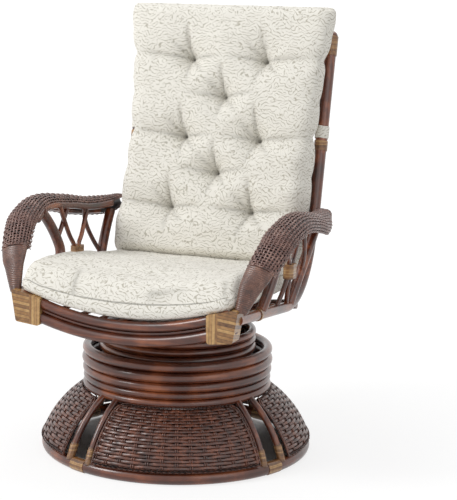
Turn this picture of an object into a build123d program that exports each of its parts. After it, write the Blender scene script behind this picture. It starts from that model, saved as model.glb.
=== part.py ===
from build123d import *
import math
import os

# Rattan swivel rocker. Millimetres, +Z up, the chair faces -Y.
# The origin is on the floor, on the swivel axis.

# ---- Base: floor ring, stacked rings, legs and woven skirt ----
FLOOR_RING_RADIUS = 305.0
FLOOR_RING_TUBE = 14.0
FOOT_FLAT = 0.5
STACK_RADIUS = 213.0
STACK_TUBES = (9.4, 8.5, 10.4, 12.3, 11.3)
STACK_BOTTOM = 147.5
POLE_LAY_GAP = 0.2
BASE_TURN = 22.4
PAIR_COUNT = 4
LEG_TUBE = 7.5
LEG_SPREAD = 60.0
LEG_TOP_INSET = 4.0
LEG_FOOT_OUTSET = 4.5
SKIRT_THICKNESS = 6.0
SKIRT_TOP_OUTSET = 7.0
SKIRT_TOP_TUCK = 1.7
SKIRT_FOOT_OUTSET = 13.0
SKIRT_FOOT_GAP = 1.6
SKIRT_BULGE = 13.5
SKIRT_EDGE_GAP = 4.0

# ---- Base: beams and swivel bearing ----
BEAM_WIDTH = 56.0
BEAM_THICKNESS = 22.0
BEAM_BOTTOM = 160.0
BEAM_END_GAP = 0.8
BEAM_BORE = 20.0
LAP_GAP = 0.2
PLATE_SIDE = 150.0
PLATE_THICKNESS = 4.0
PLATE_BOLT_OFFSET = 60.0
BOLT_RADIUS = 4.0
BOLT_HOLE_GAP = 0.15
BOLT_HEAD_RADIUS = 7.0
BOLT_HEAD_HEIGHT = 4.0
HOUSING_RADIUS = 32.0
HOUSING_HEIGHT = 20.0
WASHER_RADIUS = 30.0
WASHER_THICKNESS = 2.5
RUNNING_GAP = 0.05
FACE_GAP = 0.1

# ---- Swivel: spindle, yoke, pin and springs ----
SPINDLE_RADIUS = 12.0
NUT_RADIUS = 18.0
NUT_HEIGHT = 10.0
NUT_GAP = 0.3
PIVOT_HEIGHT = 240.0
YOKE_LENGTH = 170.0
YOKE_WIDTH = 150.0
YOKE_THICKNESS = 4.0
EAR_SPREAD = 46.0
EAR_HALF_WIDTH = 16.0
PIN_RADIUS = 6.0
PIN_HEAD_RADIUS = 9.0
PIN_HEAD_HEIGHT = 3.0
SPRING_WIRE = 2.5
SPRING_RADIUS = 15.0
SPRING_TURNS = 6
SPRING_X = 32.0
SPRING_Y = 62.0
SPRING_END_GAP = 0.3

# ---- Seat: rocker bracket, boards and drum ----
BRACKET_TUBE_RADIUS = 11.0
BRACKET_SIDE_GAP = 1.0
LUG_INSET = 7.0
DRUM_RADIUS = 175.5
DRUM_TUBES = (10.0, 9.0, 9.4)
DRUM_TOP = 292.5
SEAT_GAP = 0.3
BOARD_WIDTH = 60.0
BOARD_THICKNESS = 18.0
BOARD_X = 50.0
BOARD_BOLT_Y = 66.0

# ---- Seat: frame of bent poles ----
FRONT_Y = -312.0
FRONT_RAIL_TOP_TUBE = 11.0
FRONT_RAIL_THIN_TUBE = 3.75
FRONT_RAIL_LOW_TUBE = 12.5
FRONT_RAIL_HEIGHT = 337.0
FRONT_RAIL_HALF = 250.0
FRONT_BOW_RADIUS = 650.0
SIDE_RAIL_TUBE = 12.0
RAIL_BUTT_GAP = 1.8
SIDE_FRONT_X = 256.0
SIDE_FRONT_Z = 386.0
SIDE_REAR_X = 245.0
BEND_Y = 216.0
BEND_Z = 330.0
BEND_RADIUS = 185.0
RAIL_JOINT = 168.0
POST_TUBE = 15.0
POST_REACH = 669.0
POST_DOME = 13.0
RECLINE = 13.4
CROSS_TUBE = 12.0
CROSS_FRONT_Y = -95.0
CROSS_REAR_Y = 40.0
UNDER_CUSHION_Y = 140.0
SLAT_TUBE = 5.0
SLAT_COUNT = 9
SLAT_PITCH = 42.0
SLAT_FRONT_Y = -286.0
SLAT_REAR_Y = 156.0
INNER_RAIL_TUBE = 9.0
INNER_RAIL_Y = -284.0
BACK_RAIL_TUBE = 12.0
BACK_RAIL_REACHES = (152.0, 300.0, 466.0, 562.0)
BACK_CANE_TUBE = 6.0
BACK_CANE_COUNT = 5
BACK_CANE_PITCH = 78.0

# ---- Seat: arms ----
# Stations from the corner block up over the arm to the post: x, y, z of the middle of the
# band, its half width, its crown above the middle and its roll outwards in degrees.
ARM_FRONT_STATIONS = (
    (266.0, -307.0, 404.0, 13.0, 11.0, 12.0),
    (280.0, -289.0, 456.0, 24.0, 12.0, 10.0),
    (292.0, -265.0, 489.0, 32.0, 13.0, 4.0),
)
ARM_BAND_STATIONS = (
    (292.6, -263.5, 490.8, 32.0, 15.0, 4.0),
    (306.0, -222.0, 531.0, 35.0, 16.0, 6.0),
    (312.0, -188.0, 554.0, 36.0, 18.0, 9.0),
    (319.0, -112.0, 574.0, 35.0, 18.0, 14.0),
    (314.0, -5.0, 563.0, 35.0, 18.0, 18.0),
    (305.0, 92.0, 546.0, 34.0, 18.0, 24.0),
    (290.0, 186.0, 538.0, 30.0, 17.0, 38.0),
    (280.0, 240.0, 538.0, 25.0, 13.0, 54.0),
    (277.0, 276.0, 541.0, 13.0, 8.0, 60.0),
)
ARM_RIM_DEPTH = 8.0
ARM_BAND_THICKNESS = 7.0
ARM_POLE_TUBE = 8.0
ARM_POLE_DROP = 7.6
ARM_POLE_INSET = 4.0
NESTED_POLE_DROP = 1.0
NESTED_POLE_INSET = 14.0
SUPPORT_TUBE = 12.0
SUPPORT_FRONT = ((284.0, -150.0, 560.0), (269.0, -90.0, 475.0), (262.0, -100.0, 430.0),
                 (251.0, -135.0, 372.0))
SUPPORT_REAR = ((271.0, 200.0, 520.0), (262.0, 134.0, 436.0), (248.0, 78.0, 350.0))
CANE_TUBE = 5.5
CANES_INNER = (
    ((281.0, -62.0, 562.0), (275.0, -32.0, 500.0), (270.0, 1.0, 445.0), (248.0, -25.0, 357.0)),
    ((277.0, 78.0, 540.0), (273.0, 44.0, 492.0), (270.0, 18.0, 445.0), (247.0, 58.0, 346.0)),
)
CANES_OUTER = (
    ((283.0, -14.0, 560.0), (283.5, -46.0, 515.0), (280.0, -74.0, 484.0), (266.0, -96.0, 452.0)),
    ((279.0, 66.0, 543.0), (281.0, 78.0, 505.0), (274.0, 102.0, 462.0), (260.0, 124.0, 424.0)),
)

# ---- Bindings of cane peel ----
PEEL = 1.8
PEEL_GAP = 0.1
PEEL_COVER = 3.0
CORNER_INNER_X = 195.0
CORNER_OUTER_X = 268.0
CORNER_FOOT_X = 256.0
CORNER_BACK_Y = -286.0
CORNER_CORNER = 6.0
CORNER_GAP = 0.3  # over the rails, enough to join the three grooves into one
LEG_BINDING_LENGTH = 25.0
POST_TOP_BINDING = 48.0
POST_RING_BINDING = 24.0
POST_RING_REACH = 372.0
RAIL_RING_BINDING = 12.0
RAIL_RING_Y = -166.0
CANE_BINDING_HALF = (12.5, 19.0, 17.0)
CANE_BINDING_CENTRE = (270.0, 9.5, 443.0)

# ---- Cushions ----
CUSHION_GAP = 0.6
# Stations of the seat cushion: y, half width, then the heights of its lower edges, of its
# underside in the middle, of its top in the middle and of its upper edges.
SEAT_CUSHION_STATIONS = (
    (-315.0, 236.0, 421.0, 377.0, 401.0, 434.0),
    (-304.0, 246.0, 416.0, 370.0, 415.0, 447.0),
    (-286.0, 249.0, 414.0, 365.0, 431.0, 459.0),
    (-262.0, 250.0, 402.0, 354.0, 444.0, 467.0),
    (-230.0, 250.0, 396.0, 350.0, 451.0, 471.0),
    (-150.0, 246.0, 388.0, 347.4, 457.0, 470.0),
    (-60.0, 241.0, 383.0, 347.1, 453.0, 460.0),
    (30.0, 237.0, 379.0, 347.3, 442.0, 445.0),
    (86.0, 235.0, 377.0, 347.7, 436.0, 438.5),
    (126.0, 232.0, 376.5, 349.6, 432.0, 434.0),
    (145.0, 229.0, 379.0, 353.4, 428.5, 430.5),
    (158.0, 224.0, 384.0, 360.0, 422.0, 424.0),
)
CUSHION_TUCK = 0.16
# Stations of the back cushion up the posts: reach, half width, then the depths ahead of its
# back at which its sides begin and end, and its full thickness in the middle.
BACK_CUSHION_STATIONS = (
    (72.0, 222.0, 14.0, 56.0, 72.0),
    (88.0, 228.0, 8.0, 70.0, 90.0),
    (106.0, 229.0, 6.0, 74.0, 100.0),
    (150.0, 239.0, 3.0, 70.0, 106.0),
    (202.0, 240.0, 3.0, 56.0, 86.0),
    (248.0, 240.0, 3.0, 52.0, 88.0),
    (295.0, 240.0, 3.0, 44.0, 72.0),
    (338.0, 240.0, 3.0, 42.0, 78.0),
    (382.0, 239.0, 3.0, 40.0, 64.0),
    (434.0, 241.0, 6.0, 50.0, 73.0),
    (485.0, 243.0, 10.0, 56.0, 68.0),
    (532.0, 245.0, 12.0, 60.0, 73.0),
    (578.0, 249.0, 14.0, 62.0, 68.0),
    (636.0, 255.0, 16.0, 64.0, 74.0),
    (678.0, 262.0, 18.0, 66.0, 70.0),
    (702.0, 262.0, 24.0, 60.0, 62.0),
    (711.0, 252.0, 32.0, 52.0, 54.0),
)
CUSHION_HOLLOW = 1.2
CUSHION_SIDE_BULGE = 5.0
# Rows of sewn tufts: reach, distance from the middle and thickness left behind the tuft.
TUFT_ROWS = (
    (202.0, 105.0, 57.0),
    (295.0, 0.0, 42.0),
    (382.0, 98.0, 35.0),
    (485.0, 0.0, 41.0),
    (578.0, 97.0, 38.0),
)
TUFT_CORE = 4.0
TUFT_FLARE = 0.9
TUFT_LENGTH = 70.0
STRAP_REACH = 402.0
STRAP_HEIGHT = 30.0
STRAP_THICKNESS = 1.6


def pole(path, tube):
    """A round pole along a path."""
    return sweep(Plane(path @ 0, z_dir=path % 0) * Circle(tube), path=path)


def sleeve(path, tube, thickness):
    """A round sleeve of one thickness round a pole of radius tube."""
    inner = tube + PEEL_GAP
    section = Circle(inner + thickness) - Circle(inner)
    return sweep(Plane(path @ 0, z_dir=path % 0) * section, path=path)


def arc_from(start, tangent, end):
    """The circular arc that leaves start along tangent and reaches end."""
    chord = end - start
    along = chord.normalized()
    side = tangent - along * tangent.dot(along)
    if side.length < 1e-6:
        return Line(start, end)
    lean = math.acos(max(-1.0, min(1.0, tangent.dot(along))))
    crest = (start + end) * 0.5 + side.normalized() * (chord.length / 2 * math.tan(lean / 2))
    return ThreePointArc(start, crest, end)


def biarc(start, start_tangent, end, end_tangent):
    """Two tangent arcs from start to end with the given tangents."""
    chord = end - start
    total = start_tangent + end_tangent
    spread = 2 * (1 - start_tangent.dot(end_tangent))
    reach = chord.dot(total)
    square = chord.dot(chord)
    if spread < 1e-9:
        step = square / (4 * chord.dot(end_tangent))
    else:
        step = (math.sqrt(reach * reach + spread * square) - reach) / spread
    joint = (start + start_tangent * step + end - end_tangent * step) * 0.5
    return [arc_from(start, start_tangent, joint),
            arc_from(joint, (joint - start - start_tangent * step).normalized(), end)]


def smooth_path(points):
    """A wire of tangent arcs through the points."""
    spots = [Vector(*p) for p in points]
    tangents = []
    for index, spot in enumerate(spots):
        before = spots[max(index - 1, 0)]
        after = spots[min(index + 1, len(spots) - 1)]
        tangents.append((after - before).normalized())
    if len(spots) > 2:
        first = (spots[1] - spots[0]).normalized()
        last = (spots[-1] - spots[-2]).normalized()
        tangents[0] = (first * 2 - tangents[1]).normalized()
        tangents[-1] = (last * 2 - tangents[-2]).normalized()
    edges = []
    for index in range(len(spots) - 1):
        edges += biarc(spots[index], tangents[index], spots[index + 1], tangents[index + 1])
    return Wire([edge.edge() for edge in edges])


def largest(shape):
    """The largest solid of a shape."""
    return sorted(shape.solids(), key=lambda solid: solid.volume)[-1]


def mirrored(shape):
    """The same shape on the other side of the chair."""
    return mirror(shape, about=Plane.YZ)


def around(shape, angle):
    """The shape turned about the swivel axis."""
    return Rot(0, 0, angle) * shape


def quarter_angles(offset):
    """Angles of the base's quarters, from +X, for an offset from the middle of a quarter."""
    return [BASE_TURN - 90 + offset + 360 / PAIR_COUNT * k for k in range(PAIR_COUNT)]


def stacked_heights(bottom, tubes):
    """Centre heights of poles laid one on another from bottom up."""
    heights = []
    level = bottom
    for tube in tubes:
        heights.append(level + tube)
        level += 2 * tube + POLE_LAY_GAP
    return heights


def ring(radius, tube, height):
    """A ring of round pole about the swivel axis."""
    return Pos(0, 0, height) * Torus(radius, tube)


FLOOR_RING_Z = FLOOR_RING_TUBE - FOOT_FLAT
STACK_HEIGHTS = stacked_heights(STACK_BOTTOM, STACK_TUBES)
DRUM_DEPTH = 2 * sum(DRUM_TUBES) + POLE_LAY_GAP * (len(DRUM_TUBES) - 1)
DRUM_HEIGHTS = stacked_heights(DRUM_TOP - DRUM_DEPTH, DRUM_TUBES)
LEG_ANGLE = math.degrees(math.asin(LEG_SPREAD / 2 / FLOOR_RING_RADIUS))
PLATE_BOTTOM = BEAM_BOTTOM + BEAM_THICKNESS
PLATE_TOP = PLATE_BOTTOM + PLATE_THICKNESS
HOUSING_TOP = PLATE_TOP + HOUSING_HEIGHT
YOKE_BOTTOM = HOUSING_TOP + WASHER_THICKNESS + FACE_GAP
YOKE_TOP = YOKE_BOTTOM + YOKE_THICKNESS
BOARD_BOTTOM = DRUM_TOP + SEAT_GAP
BOARD_TOP = BOARD_BOTTOM + BOARD_THICKNESS
BRACKET_BOTTOM = BOARD_BOTTOM - PLATE_THICKNESS
CROSS_MIDDLE_Z = BOARD_TOP + SEAT_GAP + CROSS_TUBE


# ---- Base ----
def floor_ring():
    body = ring(FLOOR_RING_RADIUS, FLOOR_RING_TUBE, FLOOR_RING_Z)
    reach = 2 * (FLOOR_RING_RADIUS + FLOOR_RING_TUBE)
    return body - Pos(0, 0, -FLOOR_RING_TUBE) * Box(reach, reach, 2 * FLOOR_RING_TUBE)


def skirt_arc(top, foot, inset):
    """An arc of the skirt's flank in the XZ plane, X being the radius."""
    normal = Vector(top.Z - foot.Z, 0, foot.X - top.X).normalized()
    middle = (top + foot) * 0.5 + normal * SKIRT_BULGE
    return ThreePointArc(top - normal * inset, middle - normal * inset, foot - normal * inset)


def skirt_panel():
    top = Vector(STACK_RADIUS + SKIRT_TOP_OUTSET, 0, STACK_BOTTOM + SKIRT_TOP_TUCK)
    foot = Vector(FLOOR_RING_RADIUS + SKIRT_FOOT_OUTSET, 0,
                  FLOOR_RING_Z + FLOOR_RING_TUBE + SKIRT_FOOT_GAP)
    outer = skirt_arc(top, foot, 0)
    inner = skirt_arc(top, foot, SKIRT_THICKNESS)
    profile = Wire([outer.edge(), Line(outer @ 1, inner @ 1).edge(), inner.edge(),
                    Line(outer @ 0, inner @ 0).edge()])
    margin = math.degrees((LEG_TUBE + SKIRT_EDGE_GAP) / STACK_RADIUS)
    half = 180 / PAIR_COUNT - LEG_ANGLE - margin
    return around(revolve(Face(profile), axis=Axis.Z, revolution_arc=2 * half), -half)


def leg_path():
    top = Vector(STACK_RADIUS + LEG_TOP_INSET, 0, STACK_HEIGHTS[0] - STACK_TUBES[0] / 2)
    foot = Vector(FLOOR_RING_RADIUS + LEG_FOOT_OUTSET, 0, FLOOR_RING_Z + FLOOR_RING_TUBE / 2)
    return skirt_arc(top, foot, 0)


def seated_on_rings(shape):
    """The shape cut to sit just clear of the lowest stacked ring and of the floor ring."""
    clear_floor = ring(FLOOR_RING_RADIUS, FLOOR_RING_TUBE + SEAT_GAP, FLOOR_RING_Z)
    clear_stack = ring(STACK_RADIUS, STACK_TUBES[0] + SEAT_GAP, STACK_HEIGHTS[0])
    return largest(shape - clear_floor - clear_stack)


def leg():
    return seated_on_rings(pole(leg_path(), LEG_TUBE))


def leg_sleeve():
    path = leg_path()
    share = (LEG_BINDING_LENGTH + FLOOR_RING_TUBE) / path.length
    return seated_on_rings(sleeve(path.trim(1 - share, 1), LEG_TUBE, PEEL))


def ring_wrap():
    """Peel wound round the floor ring between the legs of a pair, flat underneath."""
    inner = FLOOR_RING_TUBE + PEEL_GAP
    section = Circle(inner + PEEL / 2) - Circle(inner)
    place = Plane(origin=(FLOOR_RING_RADIUS, 0, FLOOR_RING_Z), x_dir=(1, 0, 0), z_dir=(0, 1, 0))
    clear = LEG_TUBE + PEEL + 2 * SEAT_GAP
    half = LEG_ANGLE - math.degrees(clear / FLOOR_RING_RADIUS)
    wound = revolve(place * section, axis=Axis.Z, revolution_arc=2 * half)
    reach = 2 * FLOOR_RING_RADIUS
    floor = Pos(FLOOR_RING_RADIUS, 0, -FLOOR_RING_TUBE) * Box(reach, reach, 2 * FLOOR_RING_TUBE)
    return around(wound, -half) - floor


def leg_angles():
    quarter = 180 / PAIR_COUNT
    return quarter_angles(quarter - LEG_ANGLE) + quarter_angles(quarter + LEG_ANGLE)


def base_beam(notch_from):
    """A beam along X whose middle is notched from a height upwards or downwards."""
    reach = STACK_RADIUS - STACK_TUBES[1] - BEAM_END_GAP
    centre = BEAM_BOTTOM + BEAM_THICKNESS / 2
    beam = Pos(0, 0, centre) * (Box(2 * reach, BEAM_WIDTH, BEAM_THICKNESS)
                                & Cylinder(reach, BEAM_THICKNESS))
    notch = Box(BEAM_WIDTH + LAP_GAP, BEAM_WIDTH, BEAM_THICKNESS / 2 + LAP_GAP / 2)
    beam -= Pos(0, 0, centre + notch_from * (BEAM_THICKNESS / 4 - LAP_GAP / 4)) * notch
    beam -= Pos(0, 0, centre) * Cylinder(BEAM_BORE, BEAM_THICKNESS)
    for x in (-PLATE_BOLT_OFFSET, PLATE_BOLT_OFFSET):
        beam -= Pos(x, 0, centre) * Cylinder(BOLT_RADIUS + BOLT_HOLE_GAP, BEAM_THICKNESS)
    return beam


def plate_bolt_places():
    offset = PLATE_BOLT_OFFSET
    return [(offset, 0), (-offset, 0), (0, offset), (0, -offset)]


def base_plate():
    centre = PLATE_BOTTOM + PLATE_THICKNESS / 2
    plate = Pos(0, 0, centre) * Box(PLATE_SIDE, PLATE_SIDE, PLATE_THICKNESS)
    plate -= Pos(0, 0, centre) * Cylinder(SPINDLE_RADIUS + 2 * NUT_GAP, PLATE_THICKNESS)
    for x, y in plate_bolt_places():
        plate -= Pos(x, y, centre) * Cylinder(BOLT_RADIUS + BOLT_HOLE_GAP, PLATE_THICKNESS)
    return plate


def bolt(top, grip):
    """A round-headed bolt whose head stands on top, with a shank of length grip below."""
    head = Pos(0, 0, top + BOLT_HEAD_HEIGHT / 2) * Cylinder(BOLT_HEAD_RADIUS, BOLT_HEAD_HEIGHT)
    shank = Pos(0, 0, top - grip / 2) * Cylinder(BOLT_RADIUS, grip)
    head = fillet(head.edges().group_by(Axis.Z)[-1], BOLT_HEAD_HEIGHT / 2)
    return head + shank


def bearing_housing():
    centre = PLATE_TOP + HOUSING_HEIGHT / 2
    return Pos(0, 0, centre) * (Cylinder(HOUSING_RADIUS, HOUSING_HEIGHT)
                                - Cylinder(SPINDLE_RADIUS + RUNNING_GAP, HOUSING_HEIGHT))


def thrust_washer():
    return Pos(0, 0, HOUSING_TOP + WASHER_THICKNESS / 2) * (
        Cylinder(WASHER_RADIUS, WASHER_THICKNESS)
        - Cylinder(SPINDLE_RADIUS + NUT_GAP, WASHER_THICKNESS))


# ---- Swivel ----
def spindle():
    bottom = PLATE_BOTTOM - NUT_GAP - NUT_HEIGHT
    height = YOKE_TOP - bottom
    return Pos(0, 0, bottom + height / 2) * Cylinder(SPINDLE_RADIUS, height)


def spindle_nut():
    top = PLATE_BOTTOM - NUT_GAP
    nut = extrude(RegularPolygon(NUT_RADIUS, 6), NUT_HEIGHT) - Pos(0, 0, NUT_HEIGHT / 2) * Cylinder(
        SPINDLE_RADIUS, NUT_HEIGHT)
    return Pos(0, 0, top - NUT_HEIGHT) * nut


def rocker_yoke():
    plate = Pos(0, 0, YOKE_TOP - YOKE_THICKNESS / 2) * Box(YOKE_WIDTH, YOKE_LENGTH, YOKE_THICKNESS)
    plate -= Pos(0, 0, YOKE_TOP) * Cylinder(SPINDLE_RADIUS, 3 * YOKE_THICKNESS)
    rise = PIVOT_HEIGHT - YOKE_TOP
    for side in (-1, 1):
        ear = Pos(side * (EAR_SPREAD + YOKE_THICKNESS / 2), 0, YOKE_TOP + rise / 2) * Box(
            YOKE_THICKNESS, 2 * EAR_HALF_WIDTH, rise)
        round_top = Pos(side * (EAR_SPREAD + YOKE_THICKNESS / 2), 0, PIVOT_HEIGHT) * Rot(
            0, 90, 0) * Cylinder(EAR_HALF_WIDTH, YOKE_THICKNESS)
        plate += ear + round_top
    across = 2 * (EAR_SPREAD + 2 * YOKE_THICKNESS)
    return plate - Pos(0, 0, PIVOT_HEIGHT) * Rot(0, 90, 0) * Cylinder(PIN_RADIUS, across)


def pivot_pin():
    across = 2 * (EAR_SPREAD + YOKE_THICKNESS)
    pin = Cylinder(PIN_RADIUS, across)
    for side in (-1, 1):
        pin += Pos(0, 0, side * (across + PIN_HEAD_HEIGHT) / 2) * Cylinder(
            PIN_HEAD_RADIUS, PIN_HEAD_HEIGHT)
    return Pos(0, 0, PIVOT_HEIGHT) * Rot(0, 90, 0) * pin


def spring():
    """A coil spring between the yoke and the bracket, one unbroken tube."""
    low = YOKE_TOP + SPRING_END_GAP + SPRING_WIRE
    high = BRACKET_BOTTOM - SPRING_END_GAP - SPRING_WIRE
    pitch = (high - low) / SPRING_TURNS
    climb = math.atan2(pitch, 2 * math.pi * SPRING_RADIUS)
    edges = []
    spots = []
    for quarter in range(4 * SPRING_TURNS + 1):
        angle = math.pi / 2 * quarter
        spot = Vector(SPRING_RADIUS * math.cos(angle), SPRING_RADIUS * math.sin(angle),
                      low + pitch * quarter / 4)
        tangent = Vector(-math.sin(angle) * math.cos(climb), math.cos(angle) * math.cos(climb),
                         math.sin(climb))
        spots.append((spot, tangent))
    for (start, leave), (end, arrive) in zip(spots, spots[1:]):
        edges += biarc(start, leave, end, arrive)
    print("spring: least gap between turns", round(pitch - 2 * SPRING_WIRE, 2), "mm")
    return pole(Wire([edge.edge() for edge in edges]), SPRING_WIRE)


# ---- Seat: bracket, boards, drum ----
def rocker_bracket():
    plate = Pos(0, 0, BOARD_BOTTOM - PLATE_THICKNESS / 2) * Box(
        YOKE_WIDTH, YOKE_LENGTH, PLATE_THICKNESS)
    half = EAR_SPREAD - BRACKET_SIDE_GAP
    rise = BRACKET_BOTTOM - PIVOT_HEIGHT
    for side in (-1, 1):
        plate += Pos(side * (half - LUG_INSET), 0, PIVOT_HEIGHT + rise / 2) * Box(
            YOKE_THICKNESS, 2 * BRACKET_TUBE_RADIUS, rise)
        for y in (-BOARD_BOLT_Y, BOARD_BOLT_Y):
            plate -= Pos(side * BOARD_X, y, BOARD_BOTTOM - PLATE_THICKNESS / 2) * Cylinder(
                BOLT_RADIUS + BOLT_HOLE_GAP, PLATE_THICKNESS)
    tube = Rot(0, 90, 0) * Cylinder(BRACKET_TUBE_RADIUS, 2 * half)
    bore = Rot(0, 90, 0) * Cylinder(PIN_RADIUS + RUNNING_GAP, 2 * half)
    return plate + Pos(0, 0, PIVOT_HEIGHT) * tube - Pos(0, 0, PIVOT_HEIGHT) * bore


def seat_board(x):
    board = Pos(x, 0, BOARD_BOTTOM + BOARD_THICKNESS / 2) * Box(
        BOARD_WIDTH, 2 * (DRUM_RADIUS + DRUM_TUBES[-1]), BOARD_THICKNESS)
    for y in (-BOARD_BOLT_Y, BOARD_BOLT_Y):
        board -= Pos(x, y, BOARD_BOTTOM + BOARD_THICKNESS / 2) * Cylinder(
            BOLT_RADIUS + BOLT_HOLE_GAP, BOARD_THICKNESS)
    return board


# ---- Seat: frame ----
def smile(y, middle_z, half, rise):
    """A bowed line across the chair, low in the middle."""
    return ThreePointArc((-half, y, middle_z + rise), (0, y, middle_z), (half, y, middle_z + rise))


def front_rail_radii():
    """Bow radii of the front rails, which lie one on another about one centre."""
    thin = FRONT_BOW_RADIUS
    return {"top": thin - FRONT_RAIL_THIN_TUBE - POLE_LAY_GAP - FRONT_RAIL_TOP_TUBE,
            "thin": thin,
            "low": thin + FRONT_RAIL_THIN_TUBE + POLE_LAY_GAP + FRONT_RAIL_LOW_TUBE}


def bow_height(x, radius):
    """Centre height at x of the front rail with a bow radius."""
    return FRONT_RAIL_HEIGHT + FRONT_BOW_RADIUS - math.sqrt(radius ** 2 - x ** 2)


def front_rail_lines():
    lines = {}
    for name, radius in front_rail_radii().items():
        half = FRONT_RAIL_HALF * radius / FRONT_BOW_RADIUS
        middle_z = bow_height(0, radius)
        lines[name] = smile(FRONT_Y, middle_z, half, bow_height(half, radius) - middle_z)
    return lines


FRONT_RAIL_TUBES = {"top": FRONT_RAIL_TOP_TUBE, "thin": FRONT_RAIL_THIN_TUBE,
                    "low": FRONT_RAIL_LOW_TUBE}
POST_UP = Vector(0, math.sin(math.radians(RECLINE)), math.cos(math.radians(RECLINE)))
POST_FORWARD = Vector(0, -math.cos(math.radians(RECLINE)), math.sin(math.radians(RECLINE)))


def post_point(reach, x=SIDE_REAR_X):
    """A point on a back post's centre line, reach above the corner of its bend."""
    return Vector(x, BEND_Y, BEND_Z) + POST_UP * reach


def side_rail_start():
    front_y = FRONT_Y + FRONT_RAIL_LOW_TUBE + RAIL_BUTT_GAP
    return Vector(SIDE_FRONT_X, front_y, SIDE_FRONT_Z)


def side_rail_path():
    return FilletPolyline(side_rail_start(), post_point(0), post_point(RAIL_JOINT),
                          radius=BEND_RADIUS)


def side_rail_point(y):
    """The centre of the right side rail at y, on its straight run."""
    start = side_rail_start()
    share = (y - start.Y) / (BEND_Y - start.Y)
    return start + (post_point(0) - start) * share


def back_post():
    path = Line(post_point(RAIL_JOINT + SEAT_GAP), post_point(POST_REACH))
    post = pole(path, POST_TUBE)
    return fillet(post.edges().sort_by(Axis.Z)[-1], POST_DOME)


def between_side_rails(line, tube):
    """A pole across the chair, its ends saddled on the side rails."""
    rail = pole(side_rail_path(), SIDE_RAIL_TUBE + SEAT_GAP)
    return seated(pole(line, tube), rail, mirrored(rail))


def cross_rail(y):
    """A bowed rail between the side rails at y."""
    end = side_rail_path_point(y)
    return between_side_rails(smile(y, CROSS_MIDDLE_Z, end.X, end.Z - CROSS_MIDDLE_Z), CROSS_TUBE)


def side_rail_path_point(y):
    """The centre of the right side rail at y, on its run or its bend."""
    path = side_rail_path()
    low, high = 0.0, 1.0
    for _ in range(30):
        middle = (low + high) / 2
        if (path @ middle).Y < y:
            low = middle
        else:
            high = middle
    return path @ low


def slat_height(x, y):
    """Centre height of a slat at x and y, lying on both cross rails."""
    heights = []
    for rail_y in (CROSS_FRONT_Y, CROSS_REAR_Y):
        end = side_rail_path_point(rail_y)
        heights.append(smile_height(x, CROSS_MIDDLE_Z, end.X, end.Z - CROSS_MIDDLE_Z))
    share = (y - CROSS_FRONT_Y) / (CROSS_REAR_Y - CROSS_FRONT_Y)
    lift = CROSS_TUBE + SLAT_TUBE + 4 * SEAT_GAP
    return heights[0] + (heights[1] - heights[0]) * share + lift


def smile_height(x, middle_z, half, rise):
    """Height at x of the arc that smile() draws."""
    radius = (half * half + rise * rise) / (2 * rise)
    return middle_z + radius - math.sqrt(radius * radius - x * x)


def seat_slats():
    slats = []
    for index in range(SLAT_COUNT):
        x = (index - (SLAT_COUNT - 1) / 2) * SLAT_PITCH
        start = Vector(x, SLAT_FRONT_Y, slat_height(x, SLAT_FRONT_Y))
        end = Vector(x, SLAT_REAR_Y, slat_height(x, SLAT_REAR_Y))
        slats.append(pole(Line(start, end), SLAT_TUBE))
    return Compound(slats)


def slat_bearer(y, tube):
    """A bowed rail that touches the undersides of the slats at y."""
    half = side_rail_path_point(y).X
    edge_x = (SLAT_COUNT - 1) / 2 * SLAT_PITCH
    below = SLAT_TUBE + tube + 3 * SEAT_GAP
    middle_z = slat_height(0, y) - below
    edge_rise = slat_height(edge_x, y) - below - middle_z
    radius = (edge_x ** 2 + edge_rise ** 2) / (2 * edge_rise)
    rise = radius - math.sqrt(radius ** 2 - half ** 2)
    return between_side_rails(smile(y, middle_z, half, rise), tube)


def back_cross_rails():
    rails = []
    for reach in BACK_RAIL_REACHES:
        tube = SIDE_RAIL_TUBE if reach < RAIL_JOINT else POST_TUBE
        half = SIDE_REAR_X - tube - SEAT_GAP
        rails.append(pole(Line(post_point(reach, -half), post_point(reach, half)),
                          BACK_RAIL_TUBE))
    return rails


def back_canes():
    canes = []
    behind = -POST_FORWARD * (BACK_RAIL_TUBE + BACK_CANE_TUBE + SEAT_GAP)
    low = BACK_RAIL_REACHES[1] - BACK_RAIL_TUBE
    high = BACK_RAIL_REACHES[-1] + BACK_RAIL_TUBE
    for index in range(BACK_CANE_COUNT):
        x = (index - (BACK_CANE_COUNT - 1) / 2) * BACK_CANE_PITCH
        canes.append(pole(Line(post_point(low, x) + behind, post_point(high, x) + behind),
                          BACK_CANE_TUBE))
    return Compound(canes)


# ---- Seat: arms ----
def station_frame(stations, index):
    """Plane across the arm at a station: X outwards over the band, Y out of its crown."""
    here = Vector(*stations[index][:3])
    before = Vector(*stations[max(index - 1, 0)][:3])
    after = Vector(*stations[min(index + 1, len(stations) - 1)][:3])
    along = (after - before).normalized()
    roll = math.radians(stations[index][5])
    side = Vector(1, 0, 0) - along * along.X
    side = side.normalized()
    crown = side.cross(along)
    wide = side * math.cos(roll) - crown * math.sin(roll)
    return Plane(origin=here, x_dir=wide, z_dir=wide.cross(side * math.sin(roll)
                                                           + crown * math.cos(roll)))


def arm_front():
    sections = []
    for index, station in enumerate(ARM_FRONT_STATIONS):
        frame = station_frame(ARM_FRONT_STATIONS, index)
        sections.append(frame * Ellipse(station[3], station[4]))
    return loft(sections)


def band_section(half, crown, thickness):
    """Closed crescent: the woven crown above, open below."""
    rim = -ARM_RIM_DEPTH
    outer = ThreePointArc((-half, rim), (0, crown), (half, rim))
    inner = ThreePointArc((half - thickness, rim), (0, crown - thickness),
                          (-half + thickness, rim))
    return Wire([outer.edge(), Line((half, rim), (half - thickness, rim)).edge(), inner.edge(),
                 Line((-half + thickness, rim), (-half, rim)).edge()])


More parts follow.
